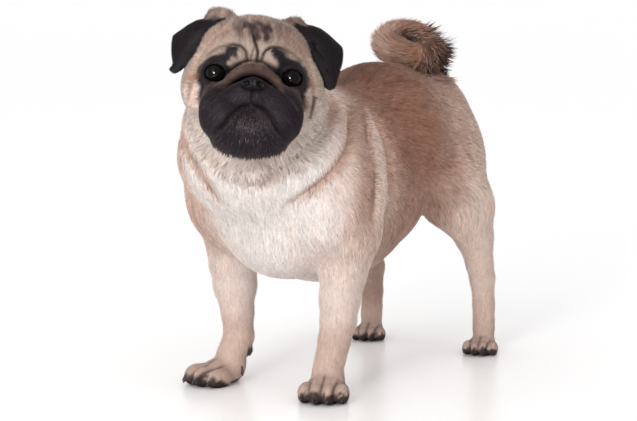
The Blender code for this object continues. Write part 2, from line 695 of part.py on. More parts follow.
print("eyes")
for side, word in ((1, "left"), (-1, "right")):
    centre = np.array(headAt) + headTurn @ (np.array(eyeAt) * (side, 1, 1))
    socket = addObject("socket", *sphereMesh(centre, eyeRadius + gap, 24, 12))
    boolean(nodes["head"], socket, "DIFFERENCE")
    remove(socket)
    nodes["eye_" + word] = addObject("eye_" + word, *sphereMesh(centre, eyeRadius, 20, 10))
biggest(nodes["head"])

print("ears")
for side, word in ((1, "left"), (-1, "right")):
    ear = addObject("ear_" + word, *earMesh(side))
    clear = copyOf(nodes["head"], "clear")
    puff = clear.modifiers.new("puff", "DISPLACE")
    puff.mid_level = 0.0
    puff.strength = gap * 1.4
    bpy.context.view_layer.update()
    bake(clear)
    boolean(ear, clear, "DIFFERENCE")
    biggest(ear)
    remove(clear)
    nodes["ear_" + word] = ear

print("claws")
for leg in ("foreleg", "hindleg"):
    for side, word in ((1, "left"), (-1, "right")):
        for root, along, radius, length in clawsOf(leg, side):
            claw = addObject("claw", *clawMesh(root, along, radius, length))
            boolean(nodes[leg + "_" + word], claw, "UNION")
            remove(claw)
        boolean(nodes[leg + "_" + word], floor, "DIFFERENCE")
        biggest(nodes[leg + "_" + word])
remove(floor)

print("place")
coat = bpy.data.materials.new("coat")
coat.use_nodes = True
coat.node_tree.nodes["Principled BSDF"].inputs["Base Color"].default_value = (0.56, 0.40, 0.28, 1)
coat.node_tree.nodes["Principled BSDF"].inputs["Roughness"].default_value = 0.85
velvet = bpy.data.materials.new("ear_coat")
velvet.use_nodes = True
velvet.node_tree.nodes["Principled BSDF"].inputs["Base Color"].default_value = (0.012, 0.010, 0.011, 1)
velvet.node_tree.nodes["Principled BSDF"].inputs["Roughness"].default_value = 0.8
glass = bpy.data.materials.new("eye")
glass.use_nodes = True
glass.node_tree.nodes["Principled BSDF"].inputs["Base Color"].default_value = (0.012, 0.006, 0.004, 1)
glass.node_tree.nodes["Principled BSDF"].inputs["Roughness"].default_value = 0.08
low = np.full(3, 9.0)
high = np.full(3, -9.0)
for node in nodes.values():
    co = np.array([v.co for v in node.data.vertices])
    low = np.minimum(low, co.min(0))
    high = np.maximum(high, co.max(0))
shift = np.array([-(low[0] + high[0]) / 2, -(low[1] + high[1]) / 2, -low[2]])
print("moved by", np.round(shift, 5), "size", np.round(high - low, 4))
for name, node in nodes.items():
    mesh = node.data
    mesh.name = name
    co = np.empty(len(mesh.vertices) * 3)
    mesh.vertices.foreach_get("co", co)
    mesh.vertices.foreach_set("co", (co.reshape(-1, 3) + shift).ravel())
    mesh.materials.clear()
    mesh.materials.append(glass if name.startswith("eye") else velvet if name.startswith("ear") else coat)
    mesh.polygons.foreach_set("material_index", [0] * len(mesh.polygons))
    mesh.shade_smooth()
    mesh.update()
    print(name, sum(len(f.vertices) - 2 for f in mesh.polygons))
print("triangles", sum(sum(len(f.vertices) - 2 for f in n.data.polygons) for n in nodes.values()))
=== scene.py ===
import bpy
import numpy as np
from mathutils import Matrix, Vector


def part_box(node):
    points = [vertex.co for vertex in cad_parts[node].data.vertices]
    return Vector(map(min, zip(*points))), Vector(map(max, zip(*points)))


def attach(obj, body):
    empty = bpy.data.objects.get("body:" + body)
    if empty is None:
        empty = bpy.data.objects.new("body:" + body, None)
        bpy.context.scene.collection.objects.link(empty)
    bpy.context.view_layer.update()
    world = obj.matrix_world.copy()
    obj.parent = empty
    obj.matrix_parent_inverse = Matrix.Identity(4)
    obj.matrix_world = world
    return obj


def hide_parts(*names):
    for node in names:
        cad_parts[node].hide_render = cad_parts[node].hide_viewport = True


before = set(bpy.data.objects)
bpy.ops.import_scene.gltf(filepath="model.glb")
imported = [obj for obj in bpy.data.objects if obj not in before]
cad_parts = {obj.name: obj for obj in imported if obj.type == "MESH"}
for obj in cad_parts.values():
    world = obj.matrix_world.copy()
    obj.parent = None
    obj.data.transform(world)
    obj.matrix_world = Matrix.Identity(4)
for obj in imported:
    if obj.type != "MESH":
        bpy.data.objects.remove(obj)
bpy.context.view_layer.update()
random = np.random.default_rng(11)

# Lengths in metres. Shapes are worked out in the animal's own frame, where it faces -Y and its left is +X,
# and are moved into the model's frame at the end.
form = {
    "floorAt": -0.006,
    "coatDepthBody": 0.0011,  # how far the skin lies inside the solids
    "coatDepthHead": 0.0004,
    "netFine": 0.0015,  # the two spacings of the skin's net
    "netCoarse": 0.0026,
    "earHalf": 0.0013,
    "eyeRadius": 0.0108,
    "soleGap": 0.0002,  # least height of the skin over the floor
    "hairGap": 0.0001,  # and of hair and claws
}

trunk = {  # overlapping masses: centre, half sizes, softness of the join
    "ribcage": ((0.0, -0.045, 0.1905), (0.087, 0.118, 0.0995), 0.020),
    "loin": ((0.0, 0.041, 0.2075), (0.066, 0.064, 0.0960), 0.020),
    "waist": ((0.0, 0.045, 0.224), (0.078, 0.090, 0.068), 0.020),
    "back": ((0.0, 0.064, 0.249), (0.060, 0.100, 0.054), 0.020),
    "rump": ((0.0, 0.122, 0.226), (0.069, 0.060, 0.075), 0.020),
    "forechest": ((0.0, -0.128, 0.188), (0.068, 0.052, 0.080), 0.030),
    "ruff": ((-0.004, -0.140, 0.224), (0.090, 0.083, 0.064), 0.018),
    "nape": ((-0.012, -0.160, 0.255), (0.060, 0.060, 0.058), 0.015),
    "beard": ((0.028, -0.216, 0.221), (0.023, 0.013, 0.012), 0.006),
}
withers = ((0.0, -0.080, 0.2135), (0.0, -0.150, 0.247), 0.073, 0.071)  # from, to, and the radius at each

foreLegs = {  # for each side: places down the leg, the radius at each, and the paw's turn in degrees
    1: {
        "joints": [(0.068, -0.108, 0.150), (0.0665, -0.112, 0.115), (0.0645, -0.115, 0.088),
                   (0.0635, -0.116, 0.068), (0.0612, -0.119, 0.048), (0.0585, -0.1265, 0.020)],
        "thick": [0.034, 0.0230, 0.0200, 0.0177, 0.0156, 0.0155], "heading": 26},
    -1: {
        "joints": [(-0.071, -0.105, 0.150), (-0.0695, -0.108, 0.112), (-0.0660, -0.110, 0.089),
                   (-0.0615, -0.112, 0.062), (-0.0585, -0.114, 0.038), (-0.0610, -0.1235, 0.020)],
        "thick": [0.034, 0.0245, 0.0218, 0.0164, 0.0150, 0.0155], "heading": -14},
}
hindLegs = {
    "joints": [(0.0680, 0.1415, 0.114), (0.0700, 0.1465, 0.090), (0.0705, 0.152, 0.073),
               (0.0715, 0.1540, 0.045), (0.0720, 0.1535, 0.018)],
    "thick": [0.0195, 0.0146, 0.0136, 0.0116, 0.0125], "heading": {1: 21, -1: 24}}
legMasses = {  # of the left side: centre, half sizes
    "upperArm": ((0.062, -0.118, 0.188), (0.043, 0.056, 0.060)),
    "haunch": ((0.050, 0.114, 0.194), (0.033, 0.056, 0.064)),
    "thigh": ((0.064, 0.131, 0.150), (0.0250, 0.0395, 0.037)),
    "carpalPad": ((0.0495, -0.1105, 0.0245), (0.0052, 0.0052, 0.0070)),
}
paws = {
    "foreSize": 1.04,
    "hindSize": 0.80,
    "pad": ((0, -0.012, 0.0105), (0.0185, 0.024, 0.0138)),
    "heel": ((0, 0.001, 0.0150), (0.0140, 0.010, 0.0110)),
    "toeHalf": (0.0073, 0.0150, 0.0104),
    "toes": [(0.0172, -0.0290, 0.0080), (0.0061, -0.0375, 0.0092),
             (-0.0061, -0.0375, 0.0092), (-0.0172, -0.0290, 0.0080)],  # across, forward, up
}
coil = {
    "middle": (0.000, 0.114, 0.322),
    "level": (0.826, 0.5637),  # the way its level axis runs
    "lift": 27.0,  # degrees from the floor to its other axis
    "root": [(0.0, 0.134, 0.258), (0.002, 0.142, 0.282)],
    "rootThick": [0.019, 0.017],
    "turns": (-15, -400),  # degrees, from and to
    "reach": 0.0270,  # radius of its middle line
    "shrink": 0.011,  # less at the tip
    "dent": (0.005, 0.325, 0.11),  # depth, share of the way along, half width
    "thick": 0.0145,  # radius of the tail itself
    "swell": 0.0030,  # more, a little before half way
    "thin": 0.006,  # less at the tip
    "climb": 0.004,  # out of its plane
}
face = {
    "at": (0.022, -0.198, 0.308),
    "yaw": 36.5,
    "pitch": -6.0,
    "roll": 4.0,
    "eyeAt": (0.0348, -0.0430, -0.0010),
    "rollThick": 0.0064,
    "rollThin": 0.001,  # less at its ends
    "lidThick": 0.0020,
    "lidOpening": (0.0102, 0.0082),  # half its width and height
    "noseRoll": [(0.0, -0.0630, 0.0040), (0.011, -0.0620, 0.0015), (0.021, -0.0590, -0.0040),
                 (0.030, -0.0540, -0.0115), (0.038, -0.0465, -0.0200), (0.043, -0.039, -0.030)],
}
# Masses of the head, as the trunk's but each alike on both sides or single, before the roll over the nose
# is laid on them and after.
pair, single = True, False
headMasses = {
    "skull": (single, (0, 0.008, 0.008), (0.056, 0.056, 0.049), 0.012),
    "forehead": (single, (0, -0.022, 0.019), (0.046, 0.034, 0.035), 0.012),
    "cheeks": (pair, (0.038, 0.002, -0.012), (0.0295, 0.046, 0.034), 0.010),
    "temples": (pair, (0.027, 0.002, 0.028), (0.024, 0.028, 0.022), 0.010),
    "throat": (single, (0, -0.012, -0.038), (0.044, 0.044, 0.032), 0.012),
    "earRoots": (pair, (0.036, 0.006, 0.048), (0.012, 0.013, 0.0105), 0.008),
    "rightEarRoot": (single, (-0.034, 0.007, 0.0515), (0.014, 0.013, 0.0105), 0.008),
    "flews": (pair, (0.0250, -0.0530, -0.0370), (0.0240, 0.0265, 0.0260), 0.006),
    "bridge": (single, (0, -0.058, -0.020), (0.030, 0.019, 0.016), 0.006),
    "chin": (single, (0, -0.0555, -0.0490), (0.021, 0.0215, 0.0155), 0.004),
    "underJaw": (single, (0, -0.036, -0.060), (0.036, 0.030, 0.017), 0.010),
}
muzzleMasses = {
    "brows": (pair, (0.0170, -0.0500, 0.0150), (0.0115, 0.0095, 0.0105), 0.005),
    "nose": (single, (0, -0.0740, -0.0088), (0.0122, 0.0085, 0.0080), 0.0025),
}
nose = {
    "darkHalf": (0.0125, 0.0090, 0.0085),  # half sizes of the dark hair round it
    "leatherHalf": (0.0128, 0.0095, 0.0086),
    "leatherFrom": -0.0705,
    "nostrils": [(0.0056, -0.0815, -0.0090), (0.0074, -0.0815, -0.0100)],
    "nostrilHalf": (0.0022, 0.0050, 0.0020),
    "slit": ((0.0070, -0.0825, -0.0098), (0.0112, -0.0790, -0.0076), 0.0011, 0.0006),
    "furrow": (0.0012, 0.0008),  # depth, half width
}
# Creases of the face in the head's X and Z, alike on both sides: points, depth, half width.
faceCreases = {
    "overNoseRoll": ([(0, 0.0115), (0.006, 0.0118), (0.012, 0.0090), (0.018, 0.0045), (0.024, -0.0005),
                      (0.030, -0.0070), (0.037, -0.0125)], 0.0036, 0.0020),
    "underNoseRoll": ([(0, -0.0015), (0.010, -0.0045), (0.017, -0.0095), (0.025, -0.0155), (0.033, -0.0225),
                       (0.040, -0.0320), (0.043, -0.044)], 0.0028, 0.0022),
    "brow": ([(0.0060, 0.0115), (0.0072, 0.0165), (0.0085, 0.0205), (0.0124, 0.0240), (0.0183, 0.0255),
              (0.0257, 0.0245), (0.0330, 0.0215), (0.0406, 0.0170), (0.047, 0.0095), (0.050, 0.0)],
             0.0034, 0.0018),
    "mouth": ([(0, -0.0270), (0.0090, -0.0300), (0.0160, -0.0360), (0.0210, -0.0430), (0.0260, -0.0500),
               (0.0330, -0.0560)], 0.0045, 0.0017),
    "philtrum": ([(0, -0.0160), (0, -0.0270)], 0.0022, 0.0013),
    "temple": ([(0.0257, 0.0400), (0.0360, 0.0330), (0.0450, 0.0220), (0.0520, 0.0080), (0.0560, -0.0080),
                (0.0570, -0.0240), (0.0550, -0.0400)], 0.0024, 0.0028),
    "cheek": ([(0.0440, -0.0010), (0.0480, -0.0120), (0.0500, -0.0240), (0.0500, -0.0380), (0.0460, -0.0520)],
              0.0022, 0.0026),
}
# Creases of the forehead, each on its own side.
browCreases = [
    ([(0.0012, 0.0100), (0.0028, 0.0180), (0.0010, 0.0250), (-0.0018, 0.0335), (-0.0046, 0.0410)],
     0.0040, 0.0019),
    ([(-0.0030, 0.0120), (-0.0022, 0.0190), (-0.0020, 0.0230)], 0.0016, 0.0013),
    ([(0.0100, 0.0300), (0.0130, 0.0370), (0.0120, 0.0450)], 0.0016, 0.0026),
    ([(-0.0120, 0.0310), (-0.0160, 0.0380), (-0.0150, 0.0460)], 0.0016, 0.0026),
]
# Folds of the neck and shoulder: a point, the way the fold's plane faces, depth, half width, reach.
bodyFolds = [
    ((0.062, -0.166, 0.246), (0.17, 0.56, -0.81), 0.0060, 0.0055, 0.080),
    ((-0.035, -0.213, 0.225), (0.71, 0.45, 0.54), 0.0050, 0.0055, 0.050),
    ((0.071, -0.138, 0.231), (0.19, 0.62, -0.76), 0.0055, 0.0055, 0.075),
    ((0.087, -0.094, 0.222), (0.60, 0.78, -0.17), 0.0045, 0.0050, 0.068),
    ((0.080, -0.054, 0.230), (-0.13, 0.98, -0.16), 0.0040, 0.0050, 0.050),
    ((-0.075, -0.140, 0.232), (-0.19, 0.62, -0.76), 0.0045, 0.0055, 0.060),
    ((-0.087, -0.094, 0.222), (-0.60, 0.78, -0.17), 0.0040, 0.0050, 0.060),
]
# An ear is a folded sheet: rows from the skull over the fold to the tip, each front, middle, back.
earRows = [
    [(0.030, 0.002, 0.042), (0.044, 0.018, 0.034), (0.052, 0.030, 0.016)],
    [(0.034, -0.002, 0.0500), (0.056, 0.014, 0.0460), (0.070, 0.027, 0.0290)],
    [(0.037, -0.010, 0.0510), (0.060, 0.003, 0.0480), (0.0800, 0.019, 0.0345)],
    [(0.041, -0.0130, 0.0440), (0.0635, -0.0060, 0.0385), (0.0825, 0.010, 0.0265)],
    [(0.0495, -0.0100, 0.0290), (0.0670, -0.0070, 0.0240), (0.0810, 0.004, 0.0130)],
    [(0.0590, -0.0050, 0.0120), (0.0700, -0.0040, 0.0080), (0.0785, 0.001, 0.0035)],
    [(0.0670, -0.0020, -0.0045), (0.0725, -0.0020, -0.0075), (0.0765, -0.001, -0.0050)],
]

rightEar = {  # how it hangs otherwise than the left one, from the skull at 0 to the tip at 1
    "places": (0, 0.33, 0.5, 0.83, 1),
    "outward": (0, -0.0040, -0.0050, -0.0035, 0.0015),
    "upward": (-0.002, 0.006, 0.002),  # everywhere, more by the tip, and at the tip alone
}


def unit(v):
    # the same directions, each of length 1
    v = np.asarray(v, float)
    return v / np.maximum(np.linalg.norm(v, axis=-1, keepdims=True), 1e-12)


def turnAbout(axis, degrees):
    # the matrix of a turn about one axis
    c, s = np.cos(np.radians(degrees)), np.sin(np.radians(degrees))
    if axis == "X":
        return np.array([[1, 0, 0], [0, c, -s], [0, s, c]])
    if axis == "Y":
        return np.array([[c, 0, s], [0, 1, 0], [-s, 0, c]])
    return np.array([[c, -s, 0], [s, c, 0], [0, 0, 1]])


headTurn = turnAbout("Z", face["yaw"]) @ turnAbout("X", face["pitch"]) @ turnAbout("Y", face["roll"])
headAt = np.array(face["at"])
eyeCentres = {side: headAt + headTurn @ (np.array(face["eyeAt"]) * (side, 1, 1)) for side in (1, -1)}
eyeLow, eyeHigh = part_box("eye_left")
toModel = (np.array(eyeLow) + np.array(eyeHigh)) / 2 - eyeCentres[1]
feet = {}  # place, heading, size
for side in (1, -1):
    feet["fore", side] = (foreLegs[side]["joints"][-1], foreLegs[side]["heading"], paws["foreSize"])
    hindFoot = np.array(hindLegs["joints"][-1]) * (side, 1, 1)
    feet["hind", side] = (hindFoot, hindLegs["heading"][side], paws["hindSize"])


def inHead(p):
    # points in the head's own frame, where the face looks along -Y
    return (p - headAt) @ headTurn


def mirrored(p):
    # the same points, with those of the right side mirrored to the left
    m = p.copy()
    m[:, 0] = np.abs(m[:, 0])
    return m


def fade(x, none, full):
    # smooth step: 0 at none, 1 at full, with a flat start and end
    t = np.clip((x - none) / (full - none), 0, 1)
    return t * t * (3 - 2 * t)


def ball(p, centre, radii):
    # ellipsoid: k0 (k0 - 1) / k1, with k0 the scaled radius and k1 its slope
    q = (p - np.asarray(centre)) / np.asarray(radii)
    k0 = np.sqrt((q * q).sum(1)) + 1e-9
    q = q / np.asarray(radii)
    k1 = np.sqrt((q * q).sum(1)) + 1e-9
    return k0 * (k0 - 1.0) / k1


def limb(p, a, b, ra, rb):
    # round length from a to b that tapers from ra to rb
    a = np.asarray(a, float)
    ab = np.asarray(b, float) - a
    t = np.clip(((p - a) @ ab) / (ab @ ab), 0, 1)
    d = p - a - t[:, None] * ab
    return np.sqrt((d * d).sum(1)) - (ra + (rb - ra) * t)


def softUnion(f, g, k):
    # the nearer of two distances, rounded over k where they meet
    h = np.maximum(k - np.abs(f - g), 0) / k
    return np.minimum(f, g) - h * h * k / 4


def smoothPath(points, count):
    # Catmull-Rom curve through the points
    pts = np.asarray(points, float)
    ext = np.vstack([2 * pts[0] - pts[1], pts, 2 * pts[-1] - pts[-2]])
    t = np.linspace(0, len(pts) - 1, count)
    i = np.minimum(t.astype(int), len(pts) - 2)
    u = (t - i)[:, None]
    a, b, c, d = ext[i], ext[i + 1], ext[i + 2], ext[i + 3]
    return 0.5 * (2 * b + (c - a) * u + (2 * a - 5 * b + 4 * c - d) * u ** 2 + (3 * b - a - 3 * c + d) * u ** 3)


def pathDistance(p, path):
    # distance to a run of straight pieces, and how far along it, from 0 to 1
    best = np.full(len(p), 9.0)
    along = np.zeros(len(p))
    n = len(path) - 1
    for i in range(n):
        ab = path[i + 1] - path[i]
        t = np.clip(((p - path[i]) @ ab) / (ab @ ab + 1e-18), 0, 1)
        d = p - path[i] - t[:, None] * ab
        d = (d * d).sum(1)
        near = d < best
        best = np.where(near, d, best)
        along = np.where(near, (i + t) / n, along)
    return np.sqrt(best), along


def groove(p, points, wide, count):
    # share of a crease's depth: a bell across it that fades at its ends
    d, t = pathDistance(p, smoothPath(points, count))
    return np.exp(-(d / wide) ** 2) * np.minimum(1, 4 * np.minimum(t + 0.15, 1.02 - t))


def triangleDistance(p, a, b, c):
    # distance from each point to one triangle: to its plane inside the three edges, else to the nearest edge
    facing = np.cross(b - a, a - c)
    best = np.full(len(p), 9.0)
    inside = np.zeros(len(p))
    for start, end in ((a, b), (b, c), (c, a)):
        run = end - start
        w = p - start
        inside += np.sign(w @ np.cross(run, facing))
        t = np.clip((w @ run) / (run @ run), 0, 1)
        d = w - t[:, None] * run
        best = np.minimum(best, (d * d).sum(1))
    flat = ((p - a) @ facing) ** 2 / (facing @ facing)
    return np.sqrt(np.where(inside < 2, best, flat))


def onFoot(p, foot):
    # points in a foot's own frame, where the floor is at 0 and the toes point along -Y
    at, heading, size = foot
    return (p - np.array([at[0], at[1], form["floorAt"]])) @ turnAbout("Z", heading) / size


def legMass(p, name, side):
    # one of a leg's masses, mirrored to its side
    centre, half = legMasses[name]
    return ball(p, np.array(centre) * (side, 1, 1), half)


def lowerLeg(f, p, joints, thick, topSoft):
    # tapered lengths from joint to joint, the first with a softer join
    for i in range(len(joints) - 1):
        part = limb(p, joints[i], joints[i + 1], thick[i], thick[i + 1])
        f = softUnion(f, part, topSoft if i == 0 else 0.004)
    return f


def paw(p, foot):
    # pad and heel, then four toes
    q = onFoot(p, foot)
    f = softUnion(ball(q, *paws["pad"]), ball(q, *paws["heel"]), 0.006)
    for toe in paws["toes"]:
        f = softUnion(f, ball(q, toe, paws["toeHalf"]), 0.0058)
    return f * foot[2]


def foreLeg(p, side):
    # upper arm, leg, paw and carpal pad
    leg = foreLegs[side]
    f = lowerLeg(legMass(p, "upperArm", side), p, leg["joints"], leg["thick"], 0.012)
    f = softUnion(f, paw(p, feet["fore", side]), 0.008)
    return softUnion(f, legMass(p, "carpalPad", side), 0.003)


def hindLeg(p, side):
    # haunch, thigh, leg and paw
    f = softUnion(legMass(p, "haunch", side), legMass(p, "thigh", side), 0.012)
    joints = [(side * x, y, z) for x, y, z in hindLegs["joints"]]
    f = lowerLeg(f, p, joints, hindLegs["thick"], 0.016)
    return softUnion(f, paw(p, feet["hind", side]), 0.006)


def coilFrame():
    # the coil's level axis, its lifted one and the one out of its plane
    levelX, levelY = coil["level"]
    lift = np.radians(coil["lift"])
    across = np.array([levelX, levelY, 0.0])
    up = np.array([-levelY * np.cos(lift), levelX * np.cos(lift), np.sin(lift)])
    return across, up, np.cross(across, up)


def coilPath():
    # a circle whose radius shrinks along the tail, with a dent, lifted out of its plane as it turns
    across, up, out = coilFrame()
    share = np.linspace(0, 1, 40)
    turn = np.radians(coil["turns"][0] + (coil["turns"][1] - coil["turns"][0]) * share)
    dentDepth, dentAt, dentWide = coil["dent"]
    reach = coil["reach"] - coil["shrink"] * share ** 1.5
    reach = reach - dentDepth * np.exp(-((share - dentAt) / dentWide) ** 2)
    ring = np.array(coil["middle"]) + (reach * np.cos(turn))[:, None] * across
    ring = ring + (reach * np.sin(turn))[:, None] * up + (coil["climb"] * share)[:, None] * out
    thick = coil["thick"] + coil["swell"] * np.sin(np.pi * np.clip(share * 1.3, 0, 1))
    thick = thick - coil["thin"] * share ** 3
    return np.vstack([coil["root"], ring]), np.concatenate([coil["rootThick"], thick])


def tail(p):
    # tapered lengths along the coil
    path, thick = coilPath()
    f = np.full(len(p), 9.0)
    for i in range(len(path) - 1):
        f = np.minimum(f, limb(p, path[i], path[i + 1], thick[i], thick[i + 1]))
    return f


def addMasses(f, q, m, masses):
    # overlapping masses joined softly, each in the middle or alike on both sides
    for onBoth, centre, half, soft in masses.values():
        f = softUnion(f, ball(m if onBoth else q, centre, half), soft)
    return f


def head(q):
    # masses, the roll over the nose and the creases, in the head's own frame
    m = mirrored(q)
    f = addMasses(np.full(len(q), 9.0), q, m, headMasses)
    d, t = pathDistance(m, smoothPath(face["noseRoll"], 9))
    f = softUnion(f, d - (face["rollThick"] - face["rollThin"] * t), 0.004)
    f = addMasses(f, q, m, muzzleMasses)
    front = np.clip((0.012 - q[:, 1]) / 0.012, 0, 1)
    for points, depth, wide in faceCreases.values():
        f = f + depth * groove(m[:, [0, 2]], points, wide, 12) * front
    for points, depth, wide in browCreases:
        f = f + depth * groove(q[:, [0, 2]], points, wide, 8) * front
    # lids round an almond opening
    f = softUnion(f, ball(m, face["eyeAt"], (form["eyeRadius"] + face["lidThick"],) * 3), 0.010)
    a = m - np.array(face["eyeAt"])
    wide, high = face["lidOpening"]
    opening = (np.sqrt((a[:, 0] / wide) ** 2 + ((a[:, 2] + 0.0003) / high) ** 2) - 1) * high
    f = np.maximum(f, -np.maximum(opening, a[:, 1] + 0.002))
    # nostrils, the slit at the side of each, and the furrow between them
    for at in nose["nostrils"]:
        f = np.maximum(f, -ball(m, at, nose["nostrilHalf"]))
    f = np.maximum(f, -limb(m, *nose["slit"]))
    depth, wide = nose["furrow"]
    furrow = depth * np.exp(-(q[:, 0] / wide) ** 2)
    return f + furrow * fade(q[:, 1], -0.074, -0.078) * fade(q[:, 2], -0.004, -0.007)


def earSheet(side):
    # rows and columns of points on an ear's middle surface, in the head's frame
    rows = np.array(earRows, float)
    lines = np.stack([smoothPath(rows[:, c], 16) for c in range(3)], 1)
    sheet = np.stack([smoothPath(line, 7) for line in lines], 0)
    if side < 0:
        drop = np.linspace(0, 1, len(sheet))[:, None]
        everywhere, byTip, atTip = rightEar["upward"]
        sheet[..., 0] += np.interp(drop, rightEar["places"], rightEar["outward"])
        sheet[..., 2] += byTip * drop + everywhere + atTip * drop ** 5
    sheet[..., 0] *= side
    return sheet


earSheets = {side: earSheet(side) for side in (1, -1)}


def earDistance(q, side):
    # distance to the ear's middle surface, as two triangles for each of its cells
    s = earSheets[side]
    best = np.full(len(q), 9.0)
    for i in range(len(s) - 1):
        for j in range(s.shape[1] - 1):
            best = np.minimum(best, triangleDistance(q, s[i, j], s[i + 1, j], s[i + 1, j + 1]))
            best = np.minimum(best, triangleDistance(q, s[i, j], s[i + 1, j + 1], s[i, j + 1]))
    return best


def within(p, low, high, work, away=9.0):
    # runs work only on the points inside a box, and puts a far distance elsewhere
    near = ((p > np.array(low)) & (p < np.array(high))).all(1)
    f = np.full(len(p), away)
    if near.any():
        f[near] = work(p[near])
    return f


def earAway(q, side, margin=0.01):
    # distance to an ear's middle surface, worked out only near it
    s = earSheets[side].reshape(-1, 3)
    return within(q, s.min(0) - margin, s.max(0) + margin, lambda r: earDistance(r, side))


def headAndEars(q):
    # the head with a sheet of even thickness for each ear
    f = head(q)
    for side in (1, -1):
        f = softUnion(f, earAway(q, side, 0.014) - form["earHalf"], 0.0022)
    return f


def foldShape(p, point, facing, depth, wide, reach):
    # a fold of the body: a bell across its plane, which fades out at its reach
    w = p - np.array(point)
    far = np.sqrt((w * w).sum(1)) / reach
    return depth * np.exp(-((w @ unit(facing)) / wide) ** 2) * np.clip(2.5 - 2.5 * far, 0, 1)


def pug(p):
    # distance to the outside of the coat: negative inside
    f = np.full(len(p), 9.0)
    for centre, radii, soft in trunk.values():
        f = softUnion(f, ball(p, centre, radii), soft)
    f = softUnion(f, limb(p, *withers), 0.020)
    for side in (1, -1):
        inner, outer = sorted((side * -0.02, side * 0.14))
        for leg, back, front, soft in ((foreLeg, -0.22, -0.02, 0.015), (hindLeg, 0.02, 0.24, 0.012)):
            part = within(p, (inner, back, -0.04), (outer, front, 0.29), lambda r: leg(r, side))
            f = softUnion(f, part, soft)
    f = softUnion(f, within(p, (-0.08, 0.04, 0.20), (0.08, 0.20, 0.40), tail), 0.004)
    for fold in bodyFolds:
        f = f + foldShape(p, *fold)
    return softUnion(f, within(inHead(p), (-0.11,) * 3, (0.11,) * 3, headAndEars), 0.009)


def headShare(q, none=0.100, full=0.086):
    # 1 on the skull and muzzle, fading over the throat and nape
    return fade(np.linalg.norm((q - (0, -0.022, -0.006)) / (0.95, 1.0, 1.0), axis=1), none, full)


def skin(p):
    # the coat's outside moved in by the coat's depth, less on the head
    onHead = headShare(inHead(p), 0.125, 0.108)
    return pug(p) + form["coatDepthBody"] + (form["coatDepthHead"] - form["coatDepthBody"]) * onHead


def slopeOf(field, p):
    # the field's slope by one step along each axis
    step = 2e-4
    f = field(p)
    return f, np.stack([field(p + np.eye(3)[i] * step) - f for i in range(3)], 1) / step


def inParts(field, p, size=200000):
    # the field worked out for so many points at a time
    return np.concatenate([field(p[i:i + size]) for i in range(0, len(p), size)])


def ruled(stops, steps):
    # places along an axis, evenly spaced by its own step between each two stops
    parts = [np.arange(a, b - step / 2, step) for a, b, step in zip(stops, stops[1:], steps)]
    return np.concatenate(parts + [[stops[-1]]])


def surfaceNet(field, axes):
    # one vertex in each cell that the surface crosses, at the mean of its edge crossings, and one quad
    # round each crossed edge; exact values are worked out only near the surface
    jump = 4
    rough = [np.append(a[:-1:jump], a[-1]) for a in axes]
    grid = np.stack(np.meshgrid(*rough, indexing="ij"), -1).reshape(-1, 3)
    v = inParts(field, grid).reshape([len(a) for a in rough])
    for i in range(3):
        v = np.apply_along_axis(lambda col: np.interp(axes[i], rough[i], col), i, v)
    near = np.abs(v) < form["netCoarse"] * jump * 0.8
    at = np.argwhere(near)
    v[near] = inParts(field, np.stack([axes[i][at[:, i]] for i in range(3)], 1))
    inside = v < 0
    cells = np.array([len(a) - 1 for a in axes])
    count = np.zeros(int(np.prod(cells)))
    total = np.zeros((len(count), 3))
    quads = []
    for i in range(3):
        j, k = (i + 1) % 3, (i + 2) % 3
        low, high = [slice(None)] * 3, [slice(None)] * 3
        low[i], high[i] = slice(0, -1), slice(1, None)
        low, high = tuple(low), tuple(high)
        edge = np.argwhere(inside[low] != inside[high])
        keep = (edge[:, j] > 0) & (edge[:, k] > 0) & (edge[:, j] < cells[j]) & (edge[:, k] < cells[k])
        edge = edge[keep]
        a, b = v[low][tuple(edge.T)], v[high][tuple(edge.T)]
        pos = np.stack([axes[c][edge[:, c]] for c in range(3)], 1)
        pos[:, i] += a / (a - b) * (axes[i][edge[:, i] + 1] - axes[i][edge[:, i]])
        ring = []
        for dj, dk in ((-1, -1), (0, -1), (0, 0), (-1, 0)):
            cell = edge.copy()
            cell[:, j] += dj
            cell[:, k] += dk
            ring.append((cell[:, 0] * cells[1] + cell[:, 1]) * cells[2] + cell[:, 2])
        ring = np.stack(ring, 1)
        for c in ring.T:
            count += np.bincount(c, minlength=len(count))
            for axis in range(3):
                total[:, axis] += np.bincount(c, weights=pos[:, axis], minlength=len(count))
        quads.append(np.where((a < 0)[:, None], ring, ring[:, ::-1]))
    used = count > 0
    number = np.cumsum(used) - 1
    return total[used] / count[used][:, None], number[np.vstack(quads)]


def evened(verts, faces):
    # each vertex moved half way to the mean of its neighbours
    total = np.zeros_like(verts)
    count = np.zeros(len(verts))
    for a in range(4):
        start, end = faces[:, a], faces[:, (a + 1) % 4]
        count += np.bincount(start, minlength=len(verts)) + np.bincount(end, minlength=len(verts))
        for axis in range(3):
            total[:, axis] += np.bincount(start, weights=verts[end, axis], minlength=len(verts))
            total[:, axis] += np.bincount(end, weights=verts[start, axis], minlength=len(verts))
    return 0.5 * verts + 0.5 * total / count[:, None]


def settled(field, verts, most=0.0015):
    # each vertex moved along the field's slope to its zero level, by a step of at most so much
    f, slope = slopeOf(field, verts)
    step = f[:, None] * slope / np.maximum((slope * slope).sum(1), 0.2)[:, None]
    size = np.linalg.norm(step, axis=1)
    return verts - step * np.minimum(1, most / np.maximum(size, 1e-12))[:, None], unit(slope)


print("shape")
